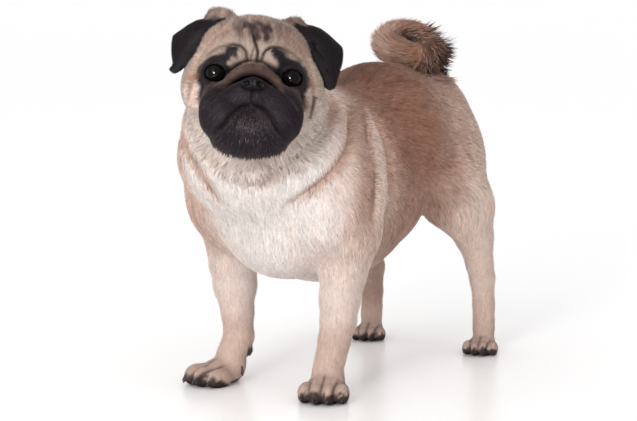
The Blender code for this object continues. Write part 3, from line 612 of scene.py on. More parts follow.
# fine across the body, along most of the head, and at the heights of the paws and of most of the head
axes = [ruled((-0.135, 0.135), (form["netFine"],)),
        ruled((-0.31, -0.285, -0.15, 0.24), (form["netCoarse"], form["netFine"], form["netCoarse"])),
        ruled((-0.012, 0.036, 0.225, 0.375, 0.40),
              (form["netFine"], form["netCoarse"], form["netFine"], form["netCoarse"]))]
skinVerts, skinFaces = surfaceNet(skin, axes)
skinVerts, skinNormals = settled(skin, skinVerts)
skinVerts, skinNormals = settled(skin, evened(skinVerts, skinFaces))
skinVerts[:, 2] = np.maximum(skinVerts[:, 2], form["floorAt"] + form["soleGap"])  # the soles lie flat
print("skin", len(skinVerts), "vertices", len(skinFaces), "quads")


def linear(code):
    # sRGB hex to linear light
    c = np.array([int(code[i:i + 2], 16) for i in (1, 3, 5)]) / 255
    return np.where(c <= 0.04045, c / 12.92, ((c + 0.055) / 1.055) ** 2.4)


noiseTable = random.random((32, 32, 32))


def cloud(p, scale, shift=0.0):
    # smooth noise from 0 to 1: random values on a lattice of the given spacing, blended between
    q = p / scale + 100 + shift
    i = np.floor(q).astype(int)
    u = q - i
    u = u * u * (3 - 2 * u)
    total = np.zeros(len(p))
    for corner in range(8):
        o = np.array([corner & 1, corner >> 1 & 1, corner >> 2 & 1])
        w = np.where(o, u, 1 - u).prod(1)
        j = (i + o) % 32
        total += w * noiseTable[j[:, 0], j[:, 1], j[:, 2]]
    return total


coatShades = {
    "fawn": "#e3cbbe",
    "headFawn": "#ae9a8d",
    "crown": "#9b8276",
    "cream": "#efe7e2",
    "tan": "#c4a495",
    "back": "#8d604c",
    "spine": "#553a30",
    # painted shade for the folds of the neck, shoulders and temples
    "foldLine": "#b48f7c",
    "mask": "#1d151b",
    "roll": "#4a3631",
    "aroundEye": "#191216",
    # painted shade for the creases of the face and forehead
    "crease": "#1d1518",
    "ear": "#191317",
    "rust": "#86583f",
    "thumb": "#3a2b2c",
    "grey": "#6a5d62",
    "chin": "#2c2226",
    "toe": "#2a2020",
    "paw": "#8a6c60",
    "tail": "#94694f",
    "paleCheek": "#e8cdc1",
}
coatShades = {name: linear(code) for name, code in coatShades.items()}


coatNoise = {  # spacing in metres, shift, and how the places are squeezed along each axis
    "wide": (0.011, 0.0, (1, 1, 1)),
    "fine": (0.0035, 7.0, (1, 1, 1)),
    "blots": (0.0055, 5.0, (1, 1, 1)),
    "ragged": (0.0045, 11.0, (1, 1, 1)),
    "grain": (0.0080, 13.0, (1.0, 0.5, 0.6)),
    "streaks": (0.0050, 9.0, (1.0, 0.5, 0.45)),
}
coatShapes = {  # in metres; those of the face are in the head's X and Z unless they have three values
    "shoulderPlanes": (((0.087, -0.094, 0.222), (0.60, 0.78, -0.17)),
                       ((0.080, -0.054, 0.230), (-0.13, 0.98, -0.16))),
    # painted shade in the fold above each hock: middle, half size
    "hock": ((0.070, 0.170, 0.078), 0.007),
    "pad": (0.0480, -0.1095, 0.0245),
    "thumbLines": [((-0.0110, 0.0440), (-0.0030, 0.0400), 0.0030),
                   ((-0.0030, 0.0400), (0.0010, 0.0330), 0.0028),
                   ((0.0030, 0.0465), (0.0080, 0.0430), 0.0030),
                   ((0.0090, 0.0420), (0.0105, 0.0345), 0.0030)],
    "thumb": ((0.0, 0.041), (0.018, 0.010)),
    "paleCheek": ((-0.0530, -0.030, -0.0200), (0.0095, 0.03, 0.0130)),
    "leftSpot": ((0.048, -0.024), (0.006, 0.006)),
    "rightSpot": ((-0.0565, -0.009), (0.005, 0.005)),
    "chin": ((0.0, -0.044), (0.017, 0.012)),
    "jaw": ((0, -0.055, -0.044), (0.0505, 0.037, 0.037)),
    "muzzle": ((0, -0.014), (0.034, -0.034), 0.0190, 0.0165),
    "socket": ((0.0350, -0.045, -0.002), (0.0170, 0.03, 0.0160)),
    "underSocket": ((0.0365, -0.045, -0.020), (0.0110, 0.03, 0.013)),
    "brow": ((0.0320, 0.0075), (0.0195, 0.0190), 0.0058, 0.0040),
    "eyeCorner": ((0.049, -0.004), (0.0570, -0.0060), 0.0012, 0.0006),
    "leftCheekLine": ((0.0572, -0.0170), (0.0548, -0.0350), 0.0010, 0.0004),
    "rightCheekLine": ((-0.0580, -0.0120), (-0.0585, -0.0250), 0.0008, 0.0003),
    "hump": ((0.036, 0.006, 0.050), (0.015, 0.016, 0.0125)),
    "toeGaps": (-0.0117, 0.0, 0.0117),
}
# The markings and painted shade, each laid over the last: shade, strength, then where it shows.
# A word is a share out of coatMeasures; three values are a measure out of it, where the marking starts
# and where it is full.
markings = {
    "side": ("tan", 0.75, ("y", -0.06, -0.01), ("z", 0.26, 0.20), ("z", 0.07, 0.10)),
    "rump top": ("tan", 0.6, "rump", ("z", 0.13, 0.18)),
    "rump": ("fawn", 0.45, "rump"),
    "saddle": ("back", 0.95, ("saddleBack", -0.095, -0.035), ("saddleUp", 0.070, 0.235), "offRump", "grain"),
    "topline": ("spine", 0.3, ("z", 0.27, 0.30), ("y", -0.09, -0.03), "beforeRump"),
    "trace": ("spine", 0.55, "midline", ("z", 0.255, 0.28), ("y", -0.12, -0.06)),
    "shoulder": ("tan", 0.55, ("y", -0.17, -0.12), ("y", -0.02, -0.07), ("z", 0.08, 0.14), ("out", 0.03, 0.06)),
    "chest": ("cream", 0.9, ("chest", -0.112, -0.170), ("z", 0.275, 0.245), ("z", 0.07, 0.12),
              ("x", -0.078, -0.035)),
    "belly": ("cream", 0.6, ("z", 0.14, 0.11), ("out", 0.06, 0.03), ("z", 0.05, 0.09)),
    # painted shade along the folds of the neck and shoulders
    "folds": ("foldLine", 1.0, "folds"),
    "shoulder valley": ("back", 0.50, ("before", -0.034, -0.014), ("before", 0.004, -0.002), "onShoulder"),
    "shoulder ridge": ("fawn", 0.60, ("before", -0.002, 0.008), ("behind", 0.000, -0.005), "onShoulder",
                       ("z", 0.29, 0.265)),
    "shins": ("tan", 0.55, ("z", 0.10, 0.05)),
    "forearms": ("cream", 0.22, ("y", -0.04, -0.08), ("z", 0.045, 0.075), ("z", 0.15, 0.12)),
    "thighs": ("fawn", 0.92, ("wavyY", 0.070, 0.125), ("z", 0.225, 0.150), ("z", 0.03, 0.07)),
    # painted shade: the lower trunk between the legs darkened, as it lies in shade under the body
    "painted shade under the body": ("back", 0.36, ("y", -0.092, -0.060), ("y", 0.10, 0.07), ("z", 0.20, 0.15), ("z", 0.08, 0.11)),
    "right upper arm": ("tan", 0.8, ("x", -0.035, -0.068), ("y", -0.05, -0.10), ("z", 0.12, 0.16)),
    # painted shade: the right hind leg, which stands in the body's shade, darkened with the back's brown
    "painted shade on the right thigh": ("back", 0.45, ("x", 0.0, -0.02), ("y", 0.04, 0.07), ("z", 0.14, 0.10), ("z", 0.02, 0.05)),
    # painted shade in the fold above each hock
    "painted shade above the hocks": ("back", 0.6, "hock"),
    "tail": ("tail", 0.6, "onTail"),
    "tail's pale side": ("tan", 0.55, "onTail", ("acrossTail", -0.004, -0.022)),
    "tail's dark side": ("spine", 0.85, "onTail", ("acrossTail", 0.004, 0.022)),
    "inside of the coil": ("spine", 0.95, "onTail", ("fromCoil", 0.018, 0.010)),
    "head": ("headFawn", 1.0, "onHead"),
    "crown": ("crown", 0.75, "onHead", ("wavyHeadZ", 0.018, 0.036)),
    "left of the crown": ("crown", 0.9, "onHead", ("wavyHeadX", 0.010, 0.026), ("headZ", 0.016, 0.026)),
    "left edge of the crown": ("thumb", 0.16, "onHead", ("wavyHeadX", 0.014, 0.028), ("headZ", 0.022, 0.030)),
    "jowls": ("cream", 0.25, "onHead", ("headZ", -0.004, -0.030)),
    "forehead streaks": ("thumb", 0.38, "streaks", "front", ("headZ", 0.030, 0.040), ("headOut", 0.040, 0.028)),
    "thumb lines": ("thumb", 1.0, "thumbLines"),
    "thumb": ("thumb", 0.45, "thumb", "front"),
    "pale cheek": ("paleCheek", 1.0, "onHead", ("paleCheek", 0.003, -0.002)),
    "left spot": ("rust", 0.55, "onHead", "leftSpot"),
    "right spot": ("rust", 0.7, "onHead", "rightSpot"),
    "edge of the mask": ("rust", 0.5, "onHead", ("mask", 0.008, 0.001)),
    "mask": ("mask", 1.0, "onHead", ("mask", 0.003, -0.002)),
    "chin": ("chin", 0.8, "onHead", "chin"),
    "roll over the nose": ("roll", 1.0, "onHead", ("fromRoll", 0.0125, 0.0085), "rollShare"),
    "round the eyes": ("aroundEye", 1.0, "onHead", ("aroundEye", 0.003, -0.001), "offRoll"),
    "brows": ("aroundEye", 1.0, "onHead", ("brow", 0.003, -0.001), ("headY", 0.0, -0.01)),
    "corners of the eyes": ("rust", 0.7, "onHead", ("eyeCorner", 0.0030, 0.0), ("headY", -0.004, -0.012)),
    # painted shade in the creases of the face
    "face creases": ("crease", 1.0, "faceCreases"),
    # painted shade along the temple crease, a little warmer in its middle
    "temple": ("foldLine", 0.40, "front", "temple"),
    "temple's middle": ("rust", 0.10, "front", "templeMiddle"),
    # painted shade along a fold of each cheek
    "left cheek line": ("crease", 0.80, "front", ("leftCheekLine", 0.0022, 0.0)),
    "right cheek line": ("crease", 0.45, "front", ("rightCheekLine", 0.0020, 0.0)),
    # painted shade in the creases of the forehead
    "forehead creases": ("crease", 1.0, "browCreases"),
    "nose": ("mask", 1.0, ("nose", 0.001, 0.0)),
    "lids": ("aroundEye", 1.0, ("fromEye", 0.0055, 0.0035), ("headY", -0.036, -0.044)),
    "left ear's root": ("thumb", 0.60, ("leftHump", 0.004, -0.001), ("leftRootStreaks", 0.1, 0.9)),
    "left ear": ("ear", 1.0, ("leftEar", 0.0050, 0.0030), ("leftHumpEdge", -0.002, 0.002)),
    "right ear's root": ("thumb", 0.60, ("rightHump", 0.004, -0.001), ("rightRootStreaks", 0.1, 0.9)),
    "right ear": ("ear", 1.0, ("rightEar", 0.0050, 0.0030), ("rightHumpEdge", -0.002, 0.002)),
}
pawMarkings = {  # the same for each paw, in its own frame
    "top": ("paw", 0.18, "onPaw", ("y", -0.006, -0.022)),
    "toes": ("toe", 0.92, "onPaw", ("tip", 0.0135, 0.0085)),
    "soles": ("toe", 0.85, "onPaw", ("edge", 0.0065, 0.0020)),
    # painted shade in the gaps between the toes
    "painted shade between the toes": ("toe", 1.0, "gaps"),
}


def uneven(p, name):
    # a smooth noise from -0.5 to 0.5
    spacing, shift, squeeze = coatNoise[name]
    return cloud(p * squeeze, spacing, shift) - 0.5


def spot(p, at, half):
    # 1 in the middle of a soft oval, fading as a bell
    return np.exp(-(((p - at) / half) ** 2).sum(1))


def together(shares):
    # what shares laid one over the other come to: 1 less the product of what each lets through
    return 1 - np.prod([1 - np.clip(share, 0, 1) for share in shares], axis=0)


def coatMeasures(p, wide, fine):
    # what the markings go by at each point: places, distances from a shape, and shares from 0 to 1
    x, y, z = p.T
    left = mirrored(p)
    q = inHead(p)
    m = mirrored(q)
    qxz, mxz = q[:, [0, 2]], m[:, [0, 2]]
    grain, blots, ragged = [uneven(p, name) for name in ("grain", "blots", "ragged")]
    streaks = fade(uneven(q, "streaks"), 0.0, 0.16)
    onHead = headShare(q)
    front = fade(q[:, 1], 0.0, -0.012) * onHead
    rump = fade(y + 0.020 * wide, 0.025, 0.140) * fade(z + 0.01 * grain, 0.345, 0.225)
    before, behind = [(left - at) @ unit(facing) for at, facing in coatShapes["shoulderPlanes"]]
    hockShadeAt, hockShadeWide = coatShapes["hock"]
    across, up, out = coilFrame()
    w = p - np.array(coil["middle"])
    fromRoll, rollAlong = pathDistance(m, smoothPath(face["noseRoll"], 9))
    muzzle = np.maximum(limb(mxz, *coatShapes["muzzle"]), q[:, 1] + 0.040)
    mask = np.minimum(ball(m, *coatShapes["jaw"]), muzzle)
    sockets = np.minimum(ball(m, *coatShapes["socket"]), ball(m, *coatShapes["underSocket"]))
    points, depth, templeWide = faceCreases["temple"]
    thumbLines = [0.9 * front * fade(limb(qxz, a, b, r, r) + 0.005 * blots + 0.004 * fine, 0.0022, -0.0014)
                  for a, b, r in coatShapes["thumbLines"]]
    # how much painted shade each crease of the face takes
    creaseShadeShares = {"overNoseRoll": 1.0, "underNoseRoll": 1.0, "mouth": 0.9,
                    "brow": 0.95 - 0.65 * fade(m[:, 0], 0.018, 0.032), "cheek": 0.15}
    creases = [share * front * groove(mxz, faceCreases[name][0], faceCreases[name][2] * 0.8, 12)
               for name, share in creaseShadeShares.items()]
    forehead = [share * front * groove(qxz, line, lineWide * 0.85, 8)
                for (line, depth, lineWide), share in zip(browCreases, (1.0, 0.5, 0.4, 0.4))]
    measures = {
        "x": x, "y": y, "z": z, "out": left[:, 0], "wavyY": y + 0.02 * wide,
        "rump": rump, "offRump": 1 - 0.80 * rump, "beforeRump": 1 - rump, "grain": 1 + 0.12 * grain,
        "saddleBack": y + 0.1 * (z - 0.25) + 0.008 * wide, "saddleUp": z + 0.012 * grain,
        "midline": np.exp(-(x / 0.013) ** 2),
        "chest": y + 0.25 * np.abs(x - 0.02) + 0.03 * wide,
        # painted shade along the body's folds
        "folds": together([foldShape(p, at, facing, 0.85, foldWide, reach)
                           for at, facing, depth, foldWide, reach in bodyFolds]),
        "before": before, "behind": behind,
        "onShoulder": fade(left[:, 0], 0.035, 0.055) * fade(z, 0.145, 0.185),
        "hock": np.exp(-(np.linalg.norm(left - hockShadeAt, axis=1) / hockShadeWide) ** 2),
        "onTail": fade(np.linalg.norm(w, axis=1), 0.055, 0.045) * fade(z, 0.285, 0.30),
        "acrossTail": w @ across + wide * 0.02, "fromCoil": np.hypot(w @ across, w @ up),
        "onHead": onHead, "front": front, "streaks": streaks,
        "headY": q[:, 1], "headZ": q[:, 2], "headOut": m[:, 0],
        "wavyHeadX": q[:, 0] + wide * 0.01, "wavyHeadZ": q[:, 2] + wide * 0.01,
        "thumbLines": together(thumbLines),
        "paleCheek": ball(q, *coatShapes["paleCheek"]) + 0.004 * ragged,
        "mask": mask + 0.005 * wide + (0.004 + 0.008 * fade(q[:, 2], -0.050, -0.066)) * ragged,
        "fromRoll": fromRoll, "rollShare": (0.95 - 0.15 * rollAlong) * (1 + 0.5 * fine),
        "offRoll": 1 - 0.75 * fade(fromRoll, 0.009, 0.005),
        "aroundEye": sockets + 0.004 * ragged + 0.002 * wide,
        "brow": limb(mxz, *coatShapes["brow"]) + 0.006 * ragged,
        "eyeCorner": limb(mxz, *coatShapes["eyeCorner"]),
        "faceCreases": together(creases), "browCreases": together(forehead),
        "temple": groove(mxz, points, templeWide * 1.2, 12),
        "templeMiddle": groove(mxz, points, templeWide * 0.5, 12),
        "leftCheekLine": limb(qxz, *coatShapes["leftCheekLine"]),
        "rightCheekLine": limb(qxz, *coatShapes["rightCheekLine"]),
        "nose": ball(q, muzzleMasses["nose"][1], nose["darkHalf"]),
        "fromEye": np.linalg.norm(m - np.array(face["eyeAt"]), axis=1) - form["eyeRadius"],
    }
    for name in ("thumb", "leftSpot", "rightSpot", "chin"):
        measures[name] = spot(qxz, *coatShapes[name])
    for side, word in ((1, "left"), (-1, "right")):
        humpAt, humpHalf = coatShapes["hump"]
        hump = ball(q, np.array(humpAt) * (side, 1, 1), humpHalf)
        measures[word + "Hump"], measures[word + "HumpEdge"] = hump, hump + 0.004 * fine
        measures[word + "RootStreaks"] = streaks + 0.5 * (side * q[:, 0] > 0.034)
        measures[word + "Ear"] = earAway(q, side)
    return measures


def layMarkings(colour, table, measures):
    # each marking's shade laid over the colour by its strength times all its shares
    for shade, strength, *places in table.values():
        share = strength
        for place in places:
            if isinstance(place, str):
                share = share * measures[place]
            else:
                measure, none, full = place
                share = share * fade(measures[measure], none, full)
        share = np.clip(share, 0, 1)[:, None]
        colour = colour * (1 - share) + coatShades[shade] * share
    return colour


def coatColour(p):
    # the coat's markings over fawn, then those of the paws, and a last unevenness
    wide, fine = uneven(p, "wide"), uneven(p, "fine")
    colour = np.tile(coatShades["fawn"], (len(p), 1))
    colour = layMarkings(colour, markings, coatMeasures(p, wide, fine))
    for side in (1, -1):
        fromPad = np.linalg.norm(p - np.array(coatShapes["pad"]) * (side, 1, 1), axis=1) + 0.003 * fine
        colour = layMarkings(colour, {"pad": ("toe", 0.9, ("fromPad", 0.0080, 0.0058))}, {"fromPad": fromPad})
    for foot in feet.values():
        t = onFoot(p, foot)
        onPaw = fade(np.linalg.norm(t[:, :2] - (0, -0.02), axis=1), 0.042, 0.034) * fade(t[:, 2], 0.034, 0.024)
        bends = [gap * (1 + 6 * (t[:, 1] + 0.03)) for gap in coatShapes["toeGaps"]]
        # painted shade along the gaps between the toes
        gaps = [0.75 * np.exp(-((t[:, 0] - bend) / 0.0013) ** 2) * fade(t[:, 1], -0.012, -0.026) * onPaw
                for bend in bends]
        colour = layMarkings(colour, pawMarkings, {
            "onPaw": onPaw, "y": t[:, 1], "edge": t[:, 2] + 0.004 * fine, "gaps": together(gaps),
            "tip": t[:, 2] + 0.35 * (t[:, 1] - 0.25 * np.abs(t[:, 0]) + 0.045) + 0.008 * fine})
    return colour * (1 + 0.12 * fine[:, None] + 0.10 * wide[:, None])


hairLies = {  # the way the hair lies on each part, before it is laid along the skin
    "trunk": (0.0, 1.0, -0.35),
    "front": (0.0, 0.25, -1.0),  # chest and throat
    "legs": (0.0, 0.10, -1.0),
    "feet": (0.0, -1.0, -0.6),
}


def lieOf(p, n):
    # the way the hair lies: from the nose back over the head, down the neck and legs, back along the trunk
    q = inHead(p)
    x, y, z = p.T
    away = unit(q - np.array([0, -0.072, -0.002]))
    away[:, 2] += 0.25 * fade(q[:, 2], -0.01, 0.03)
    lie = np.tile(hairLies["trunk"], (len(p), 1))
    for word, share in (("front", fade(y, -0.10, -0.17)), ("legs", fade(z, 0.20, 0.13)),
                        ("feet", fade(z, 0.030, 0.012))):
        lie = lie * (1 - share[:, None]) + np.array(hairLies[word]) * share[:, None]
    onHead = headShare(q)[:, None]
    lie = lie * (1 - onHead) + (away @ headTurn.T) * onHead
    outward = np.sign(q[:, 0])
    earLie = np.stack([0.5 * outward, 0 * outward, -0.85 + 0 * outward], 1) @ headTurn.T
    for side in (1, -1):
        onEar = fade(earAway(q, side), 0.006, 0.003)[:, None]
        lie = lie * (1 - onEar) + earLie * onEar
    # round the coil, and turned outwards on the side that across points to
    across, up, out = coilFrame()
    w = p - np.array(coil["middle"])
    a, b = w @ across, w @ up
    along = np.stack([b, -a], 1) / (np.hypot(a, b)[:, None] + 1e-6)
    onTail = (fade(np.linalg.norm(w, axis=1), 0.055, 0.048) * fade(z, 0.285, 0.30))[:, None]
    fan = 0.75 * fade(a, 0.000, 0.018)[:, None]
    curl = (along[:, :1] * across + along[:, 1:] * up) * (1 - fan)
    curl = curl + (-along[:, 1:] * across + along[:, :1] * up) * fan
    lie = lie * (1 - onTail) + curl * onTail
    lie = lie - (lie * n).sum(1)[:, None] * n
    return unit(lie)


def addMesh(name, verts, faces, corners):
    # one mesh from arrays: every face has the same number of corners
    mesh = bpy.data.meshes.new(name)
    mesh.vertices.add(len(verts))
    mesh.vertices.foreach_set("co", (verts + toModel).astype(np.float32).ravel())
    mesh.loops.add(faces.size)
    mesh.loops.foreach_set("vertex_index", faces.astype(np.int32).ravel())
    mesh.polygons.add(len(faces))
    mesh.polygons.foreach_set("loop_start", np.arange(0, faces.size, corners, dtype=np.int32))
    mesh.update()
    mesh.polygons.foreach_set("use_smooth", np.ones(len(faces), bool))
    thing = bpy.data.objects.new(name, mesh)
    bpy.context.scene.collection.objects.link(thing)
    return thing


def paint(thing, colours):
    # a colour for each vertex, as the attribute that the materials read
    layer = thing.data.color_attributes.new("pelt", "FLOAT_COLOR", "POINT")
    rgba = np.ones((len(colours), 4), np.float32)
    rgba[:, :3] = np.clip(colours, 0, 1)
    layer.data.foreach_set("color", rgba.ravel())


def addNode(tree, kind, settings=None, links=None):
    # a node with its settings and the sockets that feed it
    node = tree.nodes.new("ShaderNode" + kind)
    for key, value in (settings or {}).items():
        if isinstance(key, str) and hasattr(node, key):
            setattr(node, key, value)
        else:
            node.inputs[key].default_value = value
    for key, source in (links or {}).items():
        tree.links.new(source, node.inputs[key])
    return node


def newMaterial(name, settings):
    # a material whose main shader has these settings
    material = bpy.data.materials.new(name)
    material.use_nodes = True
    tree = material.node_tree
    shader = tree.nodes["Principled BSDF"]
    for key, value in settings.items():
        shader.inputs[key].default_value = value
    return material, tree, shader


# Short dog hair over skin: dull, with a faint sheen where it is seen along the surface.
shortFur, tree, shader = newMaterial("short fur", {
    "Roughness": 0.80, "Specular IOR Level": 0.06, "Sheen Weight": 0.04, "Sheen Roughness": 0.5,
    "Sheen Tint": (1.0, 0.95, 0.9, 1.0)})
pelt = addNode(tree, "Attribute", {"attribute_name": "pelt"})
place = addNode(tree, "TexCoord")
strands = addNode(tree, "TexNoise", {"Scale": 900.0, "Detail": 3.0, "Roughness": 0.6},  # about 1 mm and finer
                  {"Vector": place.outputs["Object"]})
lift = addNode(tree, "Bump", {"Strength": 0.5, "Distance": 0.0006}, {"Height": strands.outputs["Fac"]})
tree.links.new(pelt.outputs["Color"], shader.inputs["Base Color"])
tree.links.new(lift.outputs["Normal"], shader.inputs["Normal"])

# Hair in tufts: each has its own shade, from its root's place in the markings.
tuftFur, tree, shader = newMaterial("fur tufts", {
    "Roughness": 0.60, "Specular IOR Level": 0.14, "Sheen Weight": 0.05, "Sheen Roughness": 0.5,
    "Sheen Tint": (1.0, 0.95, 0.9, 1.0)})
pelt = addNode(tree, "Attribute", {"attribute_name": "pelt"})
tree.links.new(pelt.outputs["Color"], shader.inputs["Base Color"])

# Nose leather: bare, black, pebbled and a little damp.
noseLeather, tree, shader = newMaterial("nose leather", {
    "Base Color": (*linear("#0e0a0d"), 1), "Roughness": 0.42, "Specular IOR Level": 0.11})
place = addNode(tree, "TexCoord")
pebbles = addNode(tree, "TexVoronoi", {"Scale": 1100.0}, {"Vector": place.outputs["Object"]})  # about 0.9 mm
lift = addNode(tree, "Bump", {"Strength": 0.6, "Distance": 0.0004, "invert": True},
               {"Height": pebbles.outputs["Distance"]})
tree.links.new(lift.outputs["Normal"], shader.inputs["Normal"])

skinPiece = addMesh("skin", skinVerts, skinFaces, 4)
paint(skinPiece, coatColour(skinVerts))
skinPiece.data.materials.append(shortFur)
skinPiece.data.materials.append(noseLeather)
local = inHead(skinVerts[skinFaces].mean(1))
onNose = (ball(local, muzzleMasses["nose"][1], nose["leatherHalf"]) < 0) & (local[:, 1] < nose["leatherFrom"])
skinPiece.data.polygons.foreach_set("material_index", onNose.astype(np.int32))
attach(skinPiece, "root")
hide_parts("head", "neck", "torso", "tail_base", "tail_curl", "foreleg_left", "foreleg_right",
            "hindleg_left", "hindleg_right", "ear_left", "ear_right")

print("tufts")
tufts = {
    "bodyLength": 0.0068,
    "chestLength": 0.0062,
    "tailLength": 0.0135,
    "fanLength": 0.0190,
    "legLength": 0.0044,
    "pawLength": 0.0032,
    "headLength": 0.0052,
    "faceLength": 0.0032,
    "jawLength": 0.0090,
    "humpLength": 0.0064,
    "earLength": 0.0026,
    "lengths": (0.75, 1.2),  # shortest and longest, as a share of those
    "narrow": 0.095,  # width as a share of length
    "tailNarrow": 0.62,  # and as a share of that on the tail
    "cover": 0.86,  # about how many times over the tufts cover the skin
    "tailCover": 4.2,  # as many times more on the tail
    "bareLid": 0.0014,  # no hair so near the eye
    "bareSole": 0.0016,  # or so near the floor
    "stray": 0.12,  # share whose tips stand off the form
    "looseStray": 0.5,  # and on the tail and the ears' roots
    "jawStray": 0.6,
    "swing": 7.0,  # degrees either side of the lie
    "drift": 26.0,  # degrees that whole patches of it turn
    "shade": 0.10,  # spread of brightness from tuft to tuft
    "streak": 2.0,  # and from streak to streak
    "streakWide": 0.0012,
    "streakReach": 0.003,  # how far either way along the lie
    "raise": (0.6, 1.5),  # least and most height of the tip, in depths of the coat
    "pawRaise": 0.6,  # share of that on the paws
    "middleRaise": 0.7,  # and of the tuft's middle
    "middleBend": 0.25,  # most that the middle moves off its line, as a share of the length
    "tipBend": 0.35,  # and the tip
    "strayTips": (-0.02, 0.14),  # least and most height of a stray tip, as a share of the length
    "fuzzyTips": (-0.05, 0.38),  # and of a tip in loose hair
    "tailFuzz": 0.8,
    "rootDepth": 0.0003,
    "mostThick": 0.0004,
    "bakePatch": 0.0015,  # half size of a tuft's patch on the unwrap
    "most": 32000,  # in one piece
}
regions = {  # where each begins, in metres
    "legsBelow": 0.135,
    "pawsBelow": 0.026,
    "tailWithin": 0.052,  # of the coil's middle
    "tailAbove": 0.285,
    "earWithin": 0.0035,  # of its middle surface
}


def regionsOf(p):
    # which length of the body a point is on: head, ears, tail, legs, paws or trunk
    q = inHead(p)
    fromCoil = np.linalg.norm(p - np.array(coil["middle"]), axis=1)
    region = np.full(len(p), "trunk", dtype=object)
    region[p[:, 2] < regions["legsBelow"]] = "legs"
    region[p[:, 2] < regions["pawsBelow"]] = "paws"
    region[(fromCoil < regions["tailWithin"]) & (p[:, 2] > regions["tailAbove"])] = "tail"
    region[headShare(q) > 0.5] = "head"
    for side in (1, -1):
        region[earAway(q, side) < regions["earWithin"]] = "ears"
    return region


def lengthOf(p, region):
    # each length of hair blended over the last where its own share grows
    q = inHead(p)
    onHead = headShare(q)
    long = np.full(len(p), tufts["bodyLength"])
    for word, share in (("chest", fade(p[:, 1], -0.11, -0.15) * fade(p[:, 2], 0.12, 0.16)),
                        ("leg", fade(p[:, 2], 0.15, 0.09)),
                        ("paw", fade(p[:, 2], 0.042, 0.020)),
                        ("head", onHead),
                        ("face", onHead * fade(q[:, 1], -0.005, -0.030)),
                        ("jaw", onHead * fade(q[:, 2], -0.050, -0.064)),
                        ("hump", onHead * fade(q[:, 2], 0.043, 0.052))):
        long += (tufts[word + "Length"] - long) * share
    long[region == "ears"] = tufts["earLength"]
    reach = (p - np.array(coil["middle"])) @ coilFrame()[0]
    fan = tufts["tailLength"] + (tufts["fanLength"] - tufts["tailLength"]) * fade(reach, 0, 0.02)
    return np.where(region == "tail", fan, long)


def bakePlace(p, n, region):
    # the unwrap: each length of the body is rolled out flat round its own axis into its own part of the square
    q = inHead(p)
    x, y, z = p.T
    fullTurn = 2 * np.pi
    uv = np.stack([np.arctan2(x, z - 0.21) / fullTurn + 0.5, (y + 0.27) / 0.48], 1)
    uv = uv * (0.48, 0.48) + (0.01, 0.51)
    on = region == "head"
    r = np.linalg.norm(q[on], axis=1)
    uv[on] = np.stack([np.arctan2(q[on, 0], -q[on, 1]) / fullTurn + 0.5,
                       np.arcsin(np.clip(q[on, 2] / r, -1, 1)) / np.pi + 0.5], 1) * (0.48, 0.48) + (0.51, 0.51)
    on = (region == "legs") | (region == "paws")
    whichLeg = (x[on] > 0) * 1 + (y[on] > 0) * 2
    middle = np.array([(-0.062, -0.115), (0.062, -0.115), (-0.070, 0.150), (0.070, 0.150)])[whichLeg]
    uv[on] = np.stack([np.arctan2(x[on] - middle[:, 0], y[on] - middle[:, 1]) / fullTurn + 0.5,
                       (z[on] + 0.01) / 0.16], 1) * (0.17, 0.46)
    uv[on] += np.stack([0.01 + 0.18 * whichLeg, 0.02 + 0 * x[on]], 1)
    on = region == "ears"
    outer = (n[on] @ headTurn)[:, 0] * q[on, 0] > 0
    uv[on] = np.stack([(q[on, 1] + 0.03) / 0.07, (q[on, 2] + 0.025) / 0.085], 1) * (0.11, 0.11)
    uv[on] += np.stack([0.74 + 0.12 * (q[on, 0] > 0), 0.02 + 0.12 * outer], 1)
    on = region == "tail"
    across, up, out = coilFrame()
    w = p[on] - np.array(coil["middle"])
    a, b, c = w @ across, w @ up, w @ out
    uv[on] = np.stack([np.arctan2(b, a) / fullTurn + 0.5,
                       np.arctan2(c, np.hypot(a, b) - 0.021) / fullTurn + 0.5], 1) * (0.23, 0.23) + (0.74, 0.26)
    return uv


# roots: so many to each quad that tufts of that length and width cover it
corners = skinVerts[skinFaces]
area = np.linalg.norm(np.cross(corners[:, 2] - corners[:, 0], corners[:, 3] - corners[:, 1]), axis=1) / 2
middles = corners.mean(1)
quadRegion = regionsOf(middles)
long = lengthOf(middles, quadRegion)
wanted = tufts["cover"] * area / (0.6 * tufts["narrow"] * long ** 2)
lidAway = np.linalg.norm(mirrored(local) - np.array(face["eyeAt"]), axis=1)
bare = onNose | ((lidAway < form["eyeRadius"] + tufts["bareLid"]) & (local[:, 1] < -0.030))
bare |= middles[:, 2] < form["floorAt"] + tufts["bareSole"]
wanted[quadRegion == "tail"] *= tufts["tailCover"]
wanted[bare] = 0
count = np.floor(wanted + random.random(len(wanted))).astype(int)
owner = np.repeat(np.arange(len(count)), count)
u, v = random.random((2, len(owner), 1))
c = corners[owner]
roots = (c[:, 0] * (1 - u) + c[:, 1] * u) * (1 - v) + (c[:, 3] * (1 - u) + c[:, 2] * u) * v
normals = unit(skinNormals[skinFaces[owner]].mean(1))
region = quadRegion[owner]
onHead, onTail, onPaws, onEars = [region == word for word in ("head", "tail", "paws", "ears")]
long = long[owner] * random.uniform(*tufts["lengths"], len(owner))
print("tufts", len(roots))

# each tuft lies along the coat, swung a little to one side
lie = lieOf(roots, normals)
# streaks of shade: the mean of a noise at five places along the lie
steps = np.linspace(-tufts["streakReach"], tufts["streakReach"], 5)
streak = sum(cloud(roots + lie * step, tufts["streakWide"], 21.0) for step in steps) / 5 - 0.5
swing = tufts["swing"] * random.normal(0, 1, len(roots)) + tufts["drift"] * (cloud(roots, 0.012, 3.0) - 0.5)
swing = np.radians(swing)[:, None]
lie = lie * np.cos(swing) + np.cross(lie, normals) * np.sin(swing)
across = np.cross(lie, normals)

